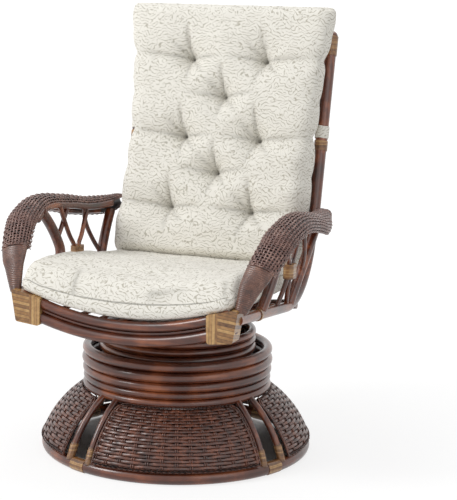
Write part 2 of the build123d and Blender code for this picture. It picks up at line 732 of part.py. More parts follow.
def arm_band():
    sections = []
    for index, station in enumerate(ARM_BAND_STATIONS):
        frame = station_frame(ARM_BAND_STATIONS, index)
        thickness = min(ARM_BAND_THICKNESS, station[3] / 2)
        sections.append(frame * Face(band_section(station[3], station[4], thickness)))
    return loft(sections)


def arm_pole_path(side, inset, drop):
    """A path inset from the band's inner (-1) or outer (1) rim and dropped below it."""
    points = []
    for index in range(2, len(ARM_BAND_STATIONS) - 2):
        half = ARM_BAND_STATIONS[index][3]
        frame = station_frame(ARM_BAND_STATIONS, index)
        spot = frame.origin + frame.x_dir * (side * (half - inset))
        points.append(spot - frame.y_dir * (ARM_RIM_DEPTH + drop))
    return smooth_path(points)


def inner_pole_path():
    return arm_pole_path(-1, ARM_POLE_INSET, ARM_POLE_DROP)


def arm_poles(band):
    """The pole under the band's inner rim and the one nested in its outer half."""
    inner = pole(inner_pole_path(), ARM_POLE_TUBE)
    outer = pole(arm_pole_path(1, NESTED_POLE_INSET, NESTED_POLE_DROP), ARM_POLE_TUBE)
    return [seated(inner, band), seated(outer, band)]


def seated(shape, *neighbours):
    """The shape cut clear of its neighbours."""
    for neighbour in neighbours:
        shape = largest(shape - neighbour)
    return shape


def arm_cutters():
    """Slightly thicker copies of the poles that supports and canes sit on."""
    under_band = pole(inner_pole_path(), ARM_POLE_TUBE + SEAT_GAP)
    rail = pole(side_rail_path(), SIDE_RAIL_TUBE + SEAT_GAP)
    return under_band, rail


def arm_supports(under_band, rail, band):
    front = pole(smooth_path(SUPPORT_FRONT), SUPPORT_TUBE)
    rear = pole(smooth_path(SUPPORT_REAR), SUPPORT_TUBE)
    return [seated(front, under_band, rail, band), seated(rear, under_band, rail, band)]


def side_canes(under_band, rail, band):
    front = pole(smooth_path(SUPPORT_FRONT), SUPPORT_TUBE + SEAT_GAP)
    rear = pole(smooth_path(SUPPORT_REAR), SUPPORT_TUBE + SEAT_GAP)
    canes = [seated(pole(smooth_path(points), CANE_TUBE), under_band, rail, band)
             for points in CANES_INNER]
    canes.append(seated(pole(smooth_path(CANES_OUTER[0]), CANE_TUBE), under_band, front, band))
    canes.append(seated(pole(smooth_path(CANES_OUTER[1]), CANE_TUBE), under_band, rear, band))
    return canes


# ---- Bindings ----
def corner_binding(inner_rail):
    """A block of peel round the ends of the front rails and the side rail."""
    radii = front_rail_radii()
    over = FRONT_RAIL_TOP_TUBE + PEEL_COVER
    under = FRONT_RAIL_LOW_TUBE + PEEL_COVER
    corners = [(CORNER_INNER_X, bow_height(CORNER_INNER_X, radii["top"]) + over),
               (CORNER_OUTER_X, bow_height(CORNER_OUTER_X, radii["top"]) + PEEL_COVER),
               (CORNER_FOOT_X, bow_height(CORNER_FOOT_X, radii["low"]) - 2 * under),
               (CORNER_INNER_X + PEEL_COVER, bow_height(CORNER_INNER_X, radii["low"]) - under)]
    front_y = FRONT_Y - under
    outline = Plane(origin=(0, CORNER_BACK_Y, 0), x_dir=(1, 0, 0), z_dir=(0, -1, 0))
    block = extrude(outline * make_face(Polyline(*corners, close=True)), CORNER_BACK_Y - front_y)
    block = fillet(block.edges().filter_by(Axis.Y), CORNER_CORNER)
    for name, line in front_rail_lines().items():
        block -= pole(line, FRONT_RAIL_TUBES[name] + CORNER_GAP)
    block -= pole(side_rail_path(), SIDE_RAIL_TUBE + PEEL_GAP)
    return seated(block, inner_rail)


def post_bindings():
    """Peel round the post's top, the post below the strap and the side rail."""
    top = Line(post_point(POST_REACH - POST_DOME - POST_TOP_BINDING),
               post_point(POST_REACH - POST_DOME))
    middle = Line(post_point(POST_RING_REACH), post_point(POST_RING_REACH + POST_RING_BINDING))
    joint = Line(post_point(RAIL_JOINT + SEAT_GAP),
                 post_point(RAIL_JOINT + SEAT_GAP + POST_RING_BINDING))
    sleeves = [sleeve(line, POST_TUBE, PEEL) for line in (top, middle, joint)]
    ring_start = side_rail_point(RAIL_RING_Y)
    along = (side_rail_point(RAIL_RING_Y + RAIL_RING_BINDING) - ring_start).normalized()
    sleeves.append(sleeve(Line(ring_start, ring_start + along * RAIL_RING_BINDING),
                          SIDE_RAIL_TUBE, PEEL))
    return sleeves


def cane_binding(canes):
    """Peel round the waist where two canes of a side meet."""
    half_x, half_y, half_z = CANE_BINDING_HALF
    block = Pos(*CANE_BINDING_CENTRE) * Box(2 * half_x, 2 * half_y, 2 * half_z)
    block = fillet(block.edges().filter_by(Axis.Z), half_x * 0.8)
    for points in CANES_INNER:
        block -= pole(smooth_path(points), CANE_TUBE + PEEL_GAP)
    return seated(block, *canes[2:])


# ---- Cushions ----
def seat_cushion():
    """A crowned cushion that follows the bowed seat."""
    sections = []
    for y, half, low_edge, low, high, high_edge in SEAT_CUSHION_STATIONS:
        place = Plane(origin=(0, y, 0), x_dir=(1, 0, 0), z_dir=(0, -1, 0))
        tuck = half - (high - low) * CUSHION_TUCK
        sections.append(place * cushion_section(tuck, half, low_edge, low, high, high_edge))
    return loft(sections)


def cushion_section(tuck, half, low_edge, low, high, high_edge):
    """A cushion's cross-section: four arcs, the side ones bulging from tuck to half."""
    middle = (low_edge + high_edge) / 2
    bottom = ThreePointArc((-tuck, low_edge), (0, low), (tuck, low_edge))
    right = ThreePointArc((tuck, low_edge), (half, middle), (tuck, high_edge))
    top = ThreePointArc((tuck, high_edge), (0, high), (-tuck, high_edge))
    left = ThreePointArc((-tuck, high_edge), (-half, middle), (-tuck, low_edge))
    return Face(Wire([bottom.edge(), right.edge(), top.edge(), left.edge()]))


def back_cushion(seat):
    """A tufted cushion that leans on the posts and stands behind the seat cushion."""
    sections = []
    for reach, half, near, far, full in BACK_CUSHION_STATIONS:
        here = post_point(reach, 0) + POST_FORWARD * (POST_TUBE + CUSHION_GAP)
        place = Plane(origin=here, x_dir=(-1, 0, 0), z_dir=POST_UP)
        tuck = half - CUSHION_SIDE_BULGE
        sections.append(place * cushion_section(tuck, half, near, near - CUSHION_HOLLOW, full, far))
    cushion = loft(sections) - Pos(0, CUSHION_GAP, CUSHION_GAP) * seat
    for reach, spread, left_behind in TUFT_ROWS:
        for x in {-spread, spread}:
            cushion -= tuft(reach, x, left_behind)
    return largest(cushion)


def tuft(reach, x, left_behind):
    """The funnel that a sewn tuft draws into the cushion's front."""
    tip = post_point(reach, x) + POST_FORWARD * (POST_TUBE + CUSHION_GAP + left_behind)
    mouth = TUFT_CORE + TUFT_FLARE * TUFT_LENGTH
    place = Plane(origin=tip, z_dir=POST_FORWARD)
    return place * Pos(0, 0, TUFT_LENGTH / 2) * Cone(TUFT_CORE, mouth, TUFT_LENGTH)


def cushion_strap():
    """A band of cloth round a post."""
    line = Line(post_point(STRAP_REACH), post_point(STRAP_REACH + STRAP_HEIGHT))
    return sleeve(line, POST_TUBE, STRAP_THICKNESS)


# ---- All nodes ----
def base_nodes():
    nodes = {"floor_ring": floor_ring()}
    for index, (tube, height) in enumerate(zip(STACK_TUBES, STACK_HEIGHTS), start=1):
        nodes[f"stack_ring_{index}"] = ring(STACK_RADIUS, tube, height)
    for index, angle in enumerate(quarter_angles(0), start=1):
        nodes[f"woven_panel_{index}"] = around(skirt_panel(), angle)
    one_leg = leg()
    nodes["base_legs"] = Compound([around(one_leg, angle) for angle in leg_angles()])
    wraps = [around(leg_sleeve(), angle) for angle in leg_angles()]
    wraps += [around(ring_wrap(), angle) for angle in quarter_angles(180 / PAIR_COUNT)]
    nodes["leg_bindings"] = Compound(wraps)
    nodes["base_beam_lower"] = around(base_beam(1), BASE_TURN)
    nodes["base_beam_upper"] = around(base_beam(-1), BASE_TURN + 90)
    nodes["base_plate"] = around(base_plate(), BASE_TURN)
    nodes["plate_bolts"] = Compound([
        around(Pos(x, y, 0) * bolt(PLATE_TOP, PLATE_THICKNESS + BEAM_THICKNESS), BASE_TURN)
        for x, y in plate_bolt_places()])
    nodes["bearing_housing"] = bearing_housing()
    nodes["thrust_washer"] = thrust_washer()
    return nodes


def swivel_nodes():
    coil = spring()
    springs = [Pos(x, y, 0) * coil for x in (-SPRING_X, SPRING_X) for y in (-SPRING_Y, SPRING_Y)]
    return {"spindle": spindle(), "spindle_nut": spindle_nut(), "rocker_yoke": rocker_yoke(),
            "pivot_pin": pivot_pin(), "rocker_springs": Compound(springs)}


def frame_nodes():
    nodes = {"rocker_bracket": rocker_bracket(),
             "seat_boards": Compound([seat_board(-BOARD_X), seat_board(BOARD_X)]),
             "board_bolts": Compound([
                 Pos(x, y, 0) * bolt(BOARD_TOP, BOARD_THICKNESS + PLATE_THICKNESS)
                 for x in (-BOARD_X, BOARD_X) for y in (-BOARD_BOLT_Y, BOARD_BOLT_Y)])}
    for index, (tube, height) in enumerate(zip(DRUM_TUBES, DRUM_HEIGHTS), start=1):
        nodes[f"drum_ring_{index}"] = ring(DRUM_RADIUS, tube, height)
    for name, line in front_rail_lines().items():
        nodes[f"front_rail_{name}"] = pole(line, FRONT_RAIL_TUBES[name])
    nodes["inner_front_rail"] = slat_bearer(INNER_RAIL_Y, INNER_RAIL_TUBE)
    nodes["seat_cross_rails"] = Compound([cross_rail(CROSS_FRONT_Y), cross_rail(CROSS_REAR_Y),
                                          slat_bearer(UNDER_CUSHION_Y, CROSS_TUBE)])
    nodes["seat_slats"] = seat_slats()
    rail = pole(side_rail_path(), SIDE_RAIL_TUBE)
    post = back_post()
    nodes["side_rail_right"] = rail
    nodes["side_rail_left"] = mirrored(rail)
    nodes["back_post_right"] = post
    nodes["back_post_left"] = mirrored(post)
    nodes["back_cross_rails"] = Compound(back_cross_rails())
    nodes["back_canes"] = back_canes()
    return nodes


def arm_nodes():
    corner = corner_binding(slat_bearer(INNER_RAIL_Y, INNER_RAIL_TUBE + PEEL_GAP))
    band = arm_band()
    front = seated(arm_front(), corner)
    under_band, rail = arm_cutters()
    supports = arm_supports(under_band, rail, band)
    canes = side_canes(under_band, rail, band)
    waist = cane_binding(canes)
    parts = {"corner_binding": corner, "arm_front": front, "arm_band": band,
             "arm_poles": Compound(arm_poles(band)), "arm_supports": Compound(supports),
             "side_canes": Compound(canes), "cane_binding": waist}
    nodes = {}
    for name, shape in parts.items():
        nodes[f"{name}_right"] = shape
        nodes[f"{name}_left"] = mirrored(shape)
    wraps = post_bindings()
    nodes["post_bindings"] = Compound(wraps + [mirrored(wrap) for wrap in wraps])
    strap = cushion_strap()
    nodes["cushion_straps"] = Compound([strap, mirrored(strap)])
    seat = seat_cushion()
    nodes["seat_cushion"] = seat
    nodes["back_cushion"] = back_cushion(seat)
    return nodes


os.makedirs("parts", exist_ok=True)
for node, shape in {**base_nodes(), **swivel_nodes(), **frame_nodes(), **arm_nodes()}.items():
    export_step(shape, f"parts/{node}.step")
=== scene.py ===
import logging
import math
from collections.abc import Callable, Iterable, Sequence
from dataclasses import dataclass
from enum import Enum
from functools import cached_property

import bmesh
import bpy
from mathutils import Euler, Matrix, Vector, noise


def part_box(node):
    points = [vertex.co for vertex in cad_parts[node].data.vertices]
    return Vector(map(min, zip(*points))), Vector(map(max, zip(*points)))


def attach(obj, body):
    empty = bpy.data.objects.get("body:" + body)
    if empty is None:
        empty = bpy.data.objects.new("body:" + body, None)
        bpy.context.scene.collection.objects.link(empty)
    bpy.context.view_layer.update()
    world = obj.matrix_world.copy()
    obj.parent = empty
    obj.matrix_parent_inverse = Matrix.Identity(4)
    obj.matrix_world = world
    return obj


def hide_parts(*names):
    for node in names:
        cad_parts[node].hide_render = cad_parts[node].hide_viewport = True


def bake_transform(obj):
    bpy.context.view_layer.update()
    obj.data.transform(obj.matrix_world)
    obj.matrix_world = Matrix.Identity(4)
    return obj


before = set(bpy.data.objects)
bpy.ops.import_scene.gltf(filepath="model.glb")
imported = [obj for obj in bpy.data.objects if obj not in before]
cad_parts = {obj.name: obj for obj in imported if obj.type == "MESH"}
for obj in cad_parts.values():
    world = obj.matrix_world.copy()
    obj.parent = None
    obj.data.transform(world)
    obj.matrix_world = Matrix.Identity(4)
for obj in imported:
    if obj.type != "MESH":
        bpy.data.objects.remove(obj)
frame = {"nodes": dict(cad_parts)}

log = logging.getLogger("rocker")

Mesh = bmesh.types.BMesh
Material = bpy.types.Material
Tree = bpy.types.NodeTree
Socket = bpy.types.NodeSocket
Rows = Sequence[Sequence[float]]
Axes = tuple[Vector, Vector, Vector]

MM = 0.001
BASE_BODY = "base"
SEAT_BODY = "seat"
SIDES = {"right": 1, "left": -1}
POST_BEND = (216.0, 330.0)  # y and z in mm where the posts' lines start
POST_RECLINE = math.radians(13.4)
STRAND_CORNERS = 6


# ---- Finishes ----
def linear(code: str) -> tuple[float, float, float, float]:
    """Turn an sRGB hex code into a linear colour.

    Args:
        code: six hex digits after a hash.

    Returns:
        Red, green, blue and an alpha of one.
    """
    parts = [int(code[k:k + 2], 16) / 255 for k in (1, 3, 5)]
    return (*[c / 12.92 if c <= 0.04045 else ((c + 0.055) / 1.055) ** 2.4 for c in parts], 1.0)


def fill(tree: Tree, node: bpy.types.Node, inputs: dict) -> None:
    """Set or link a node's inputs.

    Args:
        tree: the node's tree.
        node: the node.
        inputs: socket name or index to a value, a socket, or a node for its first output.
    """
    for name, value in inputs.items():
        if isinstance(value, bpy.types.Node):
            value = value.outputs[0]
        if isinstance(value, Socket):
            tree.links.new(value, node.inputs[name])
        else:
            node.inputs[name].default_value = value


def add_node(tree: Tree, kind: str, inputs: dict | None = None,
             stops: Sequence[tuple[float, str]] = (), **settings: object) -> bpy.types.Node:
    """Add a shader node, set it and fill its inputs.

    Args:
        tree: the tree that gets the node.
        kind: the node's type after "ShaderNode".
        inputs: what fill() takes.
        stops: a colour ramp's places and hex codes, in rising order.
        settings: attributes of the node.

    Returns:
        The new node.
    """
    node = tree.nodes.new("ShaderNode" + kind)
    for name, value in settings.items():
        setattr(node, name, value)
    if stops:
        elements = node.color_ramp.elements
        while len(elements) < len(stops):
            elements.new(0.5)
        for element, (place, code) in zip(elements, stops):
            element.position = place
            element.color = linear(code)
    fill(tree, node, inputs or {})
    return node


class Grain(Enum):
    """Which way a pole's grain runs, as streaks per metre along each axis."""

    ALONG_X = (2.0, 90.0, 90.0)
    ALONG_Y = (90.0, 2.0, 90.0)
    ALONG_Z = (90.0, 90.0, 2.0)
    ROUND = (0.8, 70.0, 90.0)  # per radian, per metre out and per metre up


@dataclass(frozen=True)
class Finish:
    """A named surface; each finish says in paint() what drives its shader."""

    name: str
    roughness: float = 0.5
    coat: float = 0.0
    coat_roughness: float = 0.03

    def build(self) -> Material:
        """Build the material.

        Returns:
            The material.
        """
        material = bpy.data.materials.new(self.name)
        material.use_nodes = True
        tree = material.node_tree
        tree.nodes.clear()
        shader = add_node(tree, "BsdfPrincipled", {
            "Roughness": self.roughness, "Coat Weight": self.coat,
            "Coat Roughness": self.coat_roughness})
        add_node(tree, "OutputMaterial", {0: shader})
        fill(tree, shader, self.paint(tree, add_node(tree, "TexCoord").outputs["Object"]))
        return material

    def paint(self, tree: Tree, place: Socket) -> dict:
        """Make what drives the shader.

        Args:
            tree: the material's tree.
            place: the place on the piece, in metres.

        Returns:
            The shader's inputs by name.
        """
        raise NotImplementedError


@dataclass(frozen=True)
class StainedPole(Finish):
    """Peeled rattan, stained and lacquered: red-brown streaks under a soft gloss."""

    grain: Grain = Grain.ALONG_Z
    dark: str = "#280E07"
    middle: str = "#5A2813"
    light: str = "#995632"
    clouds: float = 14.0  # per metre: darker and lighter stretches of about 70 mm
    roughness: float = 0.36
    coat: float = 0.5
    coat_roughness: float = 0.15

    def paint(self, tree: Tree, place: Socket) -> dict:
        """Streak the pole along its grain.

        Args:
            tree: the material's tree.
            place: the place on the piece, in metres.

        Returns:
            The shader's inputs by name.
        """
        run = place
        if self.grain is Grain.ROUND:
            split = add_node(tree, "SeparateXYZ", {0: place})
            angle = add_node(tree, "Math", {0: split.outputs[1], 1: split.outputs[0]},
                             operation="ARCTAN2")
            radius = add_node(tree, "VectorMath", {0: place}, operation="LENGTH")
            run = add_node(tree, "CombineXYZ", {0: angle, 1: radius.outputs["Value"],
                                                2: split.outputs[2]})
        streaks = add_node(tree, "Mapping", {0: run, 3: self.grain.value})
        fibre = add_node(tree, "TexNoise", {"Vector": streaks, "Scale": 1.0, "Detail": 5.0,
                                            "Roughness": 0.65})
        cloud = add_node(tree, "TexNoise", {"Vector": place, "Scale": self.clouds,
                                            "Detail": 3.0})
        both = add_node(tree, "Math", {0: fibre, 1: cloud}, operation="ADD")
        half = add_node(tree, "Math", {0: both, 1: 0.5}, operation="MULTIPLY")
        return {"Base Color": add_node(tree, "ValToRGB", {0: half}, stops=(
                    (0.36, self.dark), (0.5, self.middle), (0.64, self.light))),
                "Normal": add_node(tree, "Bump", {"Height": fibre, "Strength": 0.12,
                                                  "Distance": 0.6 * MM})}


@dataclass(frozen=True)
class Strand(Finish):
    """Stained and lacquered cane strands: duller than a pole, with a wandering colour."""

    dark: str = "#2A140F"
    middle: str = "#5C3D33"
    light: str = "#94766A"
    # painted shade for the grooves between windings
    groove_shade: str = "#120806"
    patches: float = 45.0  # per metre: the colour changes about every 22 mm
    fibres: float = 420.0  # per metre: 2.4 mm, coarser than real fibres so that they show
    roughness: float = 0.42
    coat: float = 0.45
    coat_roughness: float = 0.24

    def paint(self, tree: Tree, place: Socket) -> dict:
        """Vary the strands, with painted shade where the mesh marks a groove.

        Args:
            tree: the material's tree.
            place: the place on the piece, in metres.

        Returns:
            The shader's inputs by name.
        """
        patch = add_node(tree, "TexNoise", {"Vector": place, "Scale": self.patches,
                                            "Detail": 4.0, "Roughness": 0.7})
        fine = add_node(tree, "TexNoise", {"Vector": place, "Scale": self.fibres,
                                           "Detail": 2.0})
        mixed = add_node(tree, "Mix", {0: 0.35, 2: patch, 3: fine})
        colour = add_node(tree, "ValToRGB", {0: mixed}, stops=(
            (0.34, self.dark), (0.5, self.middle), (0.66, self.light)))
        # the fold mask paints shade into the grooves
        fold = add_node(tree, "Attribute", attribute_name="fold").outputs["Fac"]
        shown = add_node(tree, "Mix", {0: fold, 6: colour, 7: linear(self.groove_shade)},
                         data_type="RGBA")
        return {"Base Color": shown.outputs[2],
                "Normal": add_node(tree, "Bump", {"Height": fine, "Strength": 0.25,
                                                  "Distance": 0.4 * MM})}


@dataclass(frozen=True)
class Peel(Finish):
    """Unstained cane peel wound in flat turns: golden, glossy, dark between the turns."""

    across: tuple[float, float, float] = (0.0, 0.0, 1.0)
    pitch: float = 3.2  # mm from turn to turn
    upright_within: float = 0.0  # mm from the middle plane: nearer turns stand upright
    dark: str = "#4A2B18"
    middle: str = "#8E6238"
    light: str = "#C39A64"
    roughness: float = 0.38
    coat: float = 0.4
    coat_roughness: float = 0.25

    def paint(self, tree: Tree, place: Socket) -> dict:
        """Give each turn its own shade and a rounded top.

        Args:
            tree: the material's tree.
            place: the place on the piece, in metres.

        Returns:
            The shader's inputs by name.
        """
        along = add_node(tree, "VectorMath", {0: place, 1: self.across},
                         operation="DOT_PRODUCT").outputs["Value"]
        split = add_node(tree, "SeparateXYZ", {0: place})
        aside = add_node(tree, "Math", {0: split}, operation="ABSOLUTE")
        outer = add_node(tree, "Math", {0: aside, 1: self.upright_within * MM},
                         operation="GREATER_THAN")
        chosen = add_node(tree, "Mix", {0: outer, 2: aside, 3: along})
        turns = add_node(tree, "Math", {0: chosen, 1: 1 / (self.pitch * MM)},
                         operation="MULTIPLY")
        band = add_node(tree, "Math", {0: turns}, operation="FRACT")
        height = add_node(tree, "Math", {0: band, 1: 0.5}, operation="PINGPONG")
        which = add_node(tree, "Math", {0: turns}, operation="FLOOR")
        shade = add_node(tree, "TexWhiteNoise", {0: add_node(tree, "CombineXYZ", {2: which})})
        cloud = add_node(tree, "TexNoise", {"Vector": place, "Scale": 120.0, "Detail": 4.0})
        mixed = add_node(tree, "Mix", {0: 0.55, 2: shade.outputs["Value"], 3: cloud})
        colour = add_node(tree, "ValToRGB", {0: mixed}, stops=(
            (0.2, self.dark), (0.5, self.middle), (0.8, self.light)))
        gap = add_node(tree, "MapRange", {0: height, 1: 0.0, 2: 0.12, 3: 0.25, 4: 1.0})
        return {"Base Color": add_node(tree, "VectorMath", {0: colour, "Scale": gap},
                                       operation="SCALE"),
                "Normal": add_node(tree, "Bump", {"Height": height, "Strength": 0.7,
                                                  "Distance": 1.2 * MM})}


@dataclass(frozen=True)
class SquiggleCloth(Finish):
    """Cream cotton-like weave printed with short winding lines: matt, a little soft."""

    ground: str = "#F0EDE4"
    line: str = "#BEB9AB"
    # painted shade for the tufts, creases and seam
    crease_shade: str = "#6E6B62"
    scale: float = 46.0  # per metre, times frequency: lines about 6 mm apart
    frequency: float = 1.75
    warp: float = 0.006
    threads: float = 900.0  # per metre: 1.1 mm, coarser than real threads so that they show
    roughness: float = 0.92

    def paint(self, tree: Tree, place: Socket) -> dict:
        """Print the lines, and paint shade on the cloth where the mesh marks a fold.

        Args:
            tree: the material's tree.
            place: the place on the piece, in metres.

        Returns:
            The shader's inputs by name.
        """
        drift = add_node(tree, "TexNoise", {"Vector": place, "Scale": 85.0, "Detail": 0.0})
        moved = add_node(tree, "VectorMath", {0: drift.outputs["Color"], "Scale": self.warp},
                         operation="SCALE")
        spot = add_node(tree, "VectorMath", {0: place, 1: moved}, operation="ADD")
        maze = add_node(tree, "TexGabor", {
            "Vector": spot, "Scale": self.scale, "Frequency": self.frequency,
            "Anisotropy": 0.0}, gabor_type="3D")
        apart = add_node(tree, "Math", {0: maze.outputs["Phase"], 1: 0.25},
                         operation="PINGPONG")
        line = add_node(tree, "MapRange", {0: apart, 1: 0.035, 2: 0.09, 3: 1.0, 4: 0.0},
                        interpolation_type="SMOOTHSTEP")
        fade = add_node(tree, "TexNoise", {"Vector": place, "Scale": 130.0, "Detail": 1.0})
        faded = add_node(tree, "MapRange", {0: fade, 1: 0.4, 2: 0.52, 3: 0.5, 4: 1.0})
        amount = add_node(tree, "Math", {0: line, 1: faded}, operation="MULTIPLY")
        printed = add_node(tree, "Mix", {0: amount, 6: linear(self.ground),
                                         7: linear(self.line)}, data_type="RGBA")
        # painted shade where the fold mask marks a fold
        fold = add_node(tree, "Attribute", attribute_name="fold").outputs["Fac"]
        shown = add_node(tree, "Mix", {0: fold, 6: printed.outputs[2],
                                       7: linear(self.crease_shade)}, data_type="RGBA")
        weave = add_node(tree, "TexNoise", {"Vector": place, "Scale": self.threads,
                                            "Detail": 1.0})
        return {"Base Color": shown.outputs[2], "Sheen Weight": 0.18,
                "Specular IOR Level": 0.2,
                "Normal": add_node(tree, "Bump", {"Height": weave, "Strength": 0.3,
                                                  "Distance": 0.7 * MM})}


@dataclass(frozen=True)
class Timber(Finish):
    """Sanded bare hardwood with straight grain, hidden under the seat."""

    dark: str = "#5E3D24"
    light: str = "#9A7046"
    grain: tuple[float, float, float] = (60.0, 6.0, 60.0)  # streaks per metre
    roughness: float = 0.62

    def paint(self, tree: Tree, place: Socket) -> dict:
        """Draw the grain.

        Args:
            tree: the material's tree.
            place: the place on the piece, in metres.

        Returns:
            The shader's inputs by name.
        """
        streaks = add_node(tree, "Mapping", {0: place, 3: self.grain})
        fibre = add_node(tree, "TexNoise", {"Vector": streaks, "Scale": 1.0, "Detail": 5.0})
        return {"Base Color": add_node(tree, "ValToRGB", {0: fibre}, stops=(
                    (0.35, self.dark), (0.65, self.light))),
                "Normal": add_node(tree, "Bump", {"Height": fibre, "Strength": 0.2,
                                                  "Distance": 0.4 * MM})}


@dataclass(frozen=True)
class PlatedSteel(Finish):
    """Rolled steel, zinc plated: pale metal with faint rolling marks."""

    dark: str = "#8F9294"
    light: str = "#B4B6B8"
    marks: tuple[float, float, float] = (300.0, 12.0, 300.0)  # per metre, coarser than real

    def paint(self, tree: Tree, place: Socket) -> dict:
        """Draw the rolling marks in colour and gloss.

        Args:
            tree: the material's tree.
            place: the place on the piece, in metres.

        Returns:
            The shader's inputs by name.
        """
        streaks = add_node(tree, "Mapping", {0: place, 3: self.marks})
        marks = add_node(tree, "TexNoise", {"Vector": streaks, "Scale": 1.0, "Detail": 3.0})
        return {"Base Color": add_node(tree, "ValToRGB", {0: marks}, stops=(
                    (0.3, self.dark), (0.7, self.light))),
                "Roughness": add_node(tree, "MapRange", {0: marks, 3: 0.28, 4: 0.45}),
                "Metallic": 1.0}


@dataclass(frozen=True)
class Nylon(Finish):
    """Moulded natural nylon: off-white with a slight cloudiness."""

    dark: str = "#D8D4C6"
    light: str = "#E6E2D6"

    def paint(self, tree: Tree, place: Socket) -> dict:
        """Cloud the colour.

        Args:
            tree: the material's tree.
            place: the place on the piece, in metres.

        Returns:
            The shader's inputs by name.
        """
        speck = add_node(tree, "TexNoise", {"Vector": place, "Scale": 500.0})
        return {"Base Color": add_node(tree, "ValToRGB", {0: speck}, stops=(
            (0.3, self.dark), (0.7, self.light)))}


# ---- Mesh helpers ----
def add_sheet(bm: Mesh, along: int, across: int,
              place: Callable[[float, float], Vector]) -> None:
    """Add a grid whose corners are moved by a function.

    Args:
        bm: the mesh that gets the grid.
        along: cells along.
        across: cells across.
        place: gives the point at shares (0 to 1) along and across.
    """
    made = bmesh.ops.create_grid(bm, x_segments=along, y_segments=across, size=0.5)
    for vert in made["verts"]:
        vert.co = place(vert.co.x + 0.5, vert.co.y + 0.5)


def add_strand(bm: Mesh, steps: int, section: Sequence[tuple[float, float]],
               spine: Callable[[float], Axes]) -> None:
    """Add a strand of one cross-section along a spine.

    Args:
        bm: the mesh that gets the strand.
        steps: cells along.
        section: sideways and outward offsets, in metres.
        spine: gives the centre, the sideways and the outward direction at a share along.
    """
    count = len(section)

    def place(along: float, around: float) -> Vector:
        """Find a corner of the strand at shares along and around it."""
        centre, side, out = spine(along)
        wide, high = section[round(around * count) % count]
        return centre + side * wide + out * high

    add_sheet(bm, steps, count, place)


def oval(half: tuple[float, float], corners: int = STRAND_CORNERS) -> list[tuple[float, float]]:
    """Give the offsets of an oval section.

    Args:
        half: half width and half thickness in millimetres.
        corners: number of corners.

    Returns:
        Offsets in metres.
    """
    turn = 2 * math.pi / corners
    return [(half[0] * MM * math.cos(turn * k), half[1] * MM * math.sin(turn * k))
            for k in range(corners)]


def add_shade_sheet(bm: Mesh, along: int, steps: int,
               place: Callable[[float, float, bool], Vector]) -> None:
    """Add a thin closed dark sheet of the second material behind a weave: painted shade seen through the
    gaps.

    Args:
        bm: the mesh that gets the lining.
        along: cells along.
        steps: points across each of its two sides.
        place: gives the point at a share along and a place from -1 to 1 across, on the
            outer side or the inner one.
    """
    count = len(bm.faces)

    def walk(share: float, around: float) -> Vector:
        """Go across one side of the sheet and back across the other."""
        step = round(around * 2 * steps) % (2 * steps)
        outer = step < steps
        across = (step if outer else 2 * steps - 1 - step) / (steps - 1) * 2 - 1
        return place(share, across, outer)

    add_sheet(bm, along, 2 * steps, walk)
    bm.faces.ensure_lookup_table()
    for face in bm.faces[count:]:
        face.material_index = 1


def finish_piece(bm: Mesh, name: str, materials: Sequence[Material], body: str | None) -> bpy.types.Object:
    """Close a mesh, make it an object and report it.

    Args:
        bm: the mesh, in the row frame.
        name: the object's name.
        materials: its materials, in slot order.
        body: the CAD body it rides on, or None to leave it unattached.

    Returns:
        The new object.
    """
    bmesh.ops.remove_doubles(bm, verts=bm.verts, dist=1e-6)
    rims = [edge for edge in bm.edges if edge.is_boundary]
    bmesh.ops.holes_fill(bm, edges=rims, sides=0)
    bmesh.ops.recalc_face_normals(bm, faces=bm.faces)
    mesh = bpy.data.meshes.new(name)
    bm.to_mesh(mesh)
    bm.free()
    mesh.shade_smooth()
    piece = bpy.data.objects.new(name, mesh)
    bpy.context.collection.objects.link(piece)
    for material in materials:
        mesh.materials.append(material)
    if body is not None:
        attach(piece, body)
    log.info("%s: %d faces", name, len(mesh.polygons))
    return piece


def smooth_value(rows: Rows, share: float) -> list[float]:
    """Interpolate evenly spread rows of numbers by a smooth curve through them.

    Args:
        rows: the rows.
        share: 0 at the first row, 1 at the last.

    Returns:
        The numbers at the share.
    """
    spot = min(max(share, 0.0), 1.0) * (len(rows) - 1)
    index = min(int(spot), len(rows) - 2)
    t = spot - index
    near = [rows[min(max(index + k, 0), len(rows) - 1)] for k in (-1, 0, 1, 2)]
    return [0.5 * (2 * b + (c - a) * t + (2 * a - 5 * b + 4 * c - d) * t * t
                   + (3 * b - a - 3 * c + d) * t ** 3) for a, b, c, d in zip(*near)]


def table_value(rows: Rows, key: float) -> list[float]:
    """Interpolate a table of stations by its first column.

    Args:
        rows: stations in rising order of the first number.
        key: the value looked up.

    Returns:
        The other numbers at the key.
    """
    if key <= rows[0][0]:
        return list(rows[0][1:])
    for low, high in zip(rows, rows[1:]):
        if key <= high[0]:
            t = (key - low[0]) / (high[0] - low[0])
            t = t * t * (3 - 2 * t)
            return [a + (b - a) * t for a, b in zip(low[1:], high[1:])]
    return list(rows[-1][1:])


def dent(distance: float, width: float, power: float = 1.4) -> float:
    """Say how deep a dent is beside its middle.

    Args:
        distance: distance from the middle.
        width: distance at which it has fallen to a third.
        power: higher for a flatter middle and a sharper end.

    Returns:
        1 in the middle, falling to 0.
    """
    return math.exp(-(abs(distance) / width) ** power)


def rounded(share: float, power: float = 2.0) -> float:
    """Say how high a rounded edge stands.

    Args:
        share: 0 at the rim, 1 where the rounding ends.
        power: 2 for a quarter circle, more for a fuller edge.

    Returns:
        0 at the rim, 1 from the rounding's end on.
    """
    return math.sqrt(max(0.0, 1 - (1 - min(max(share, 0.0), 1.0)) ** power))


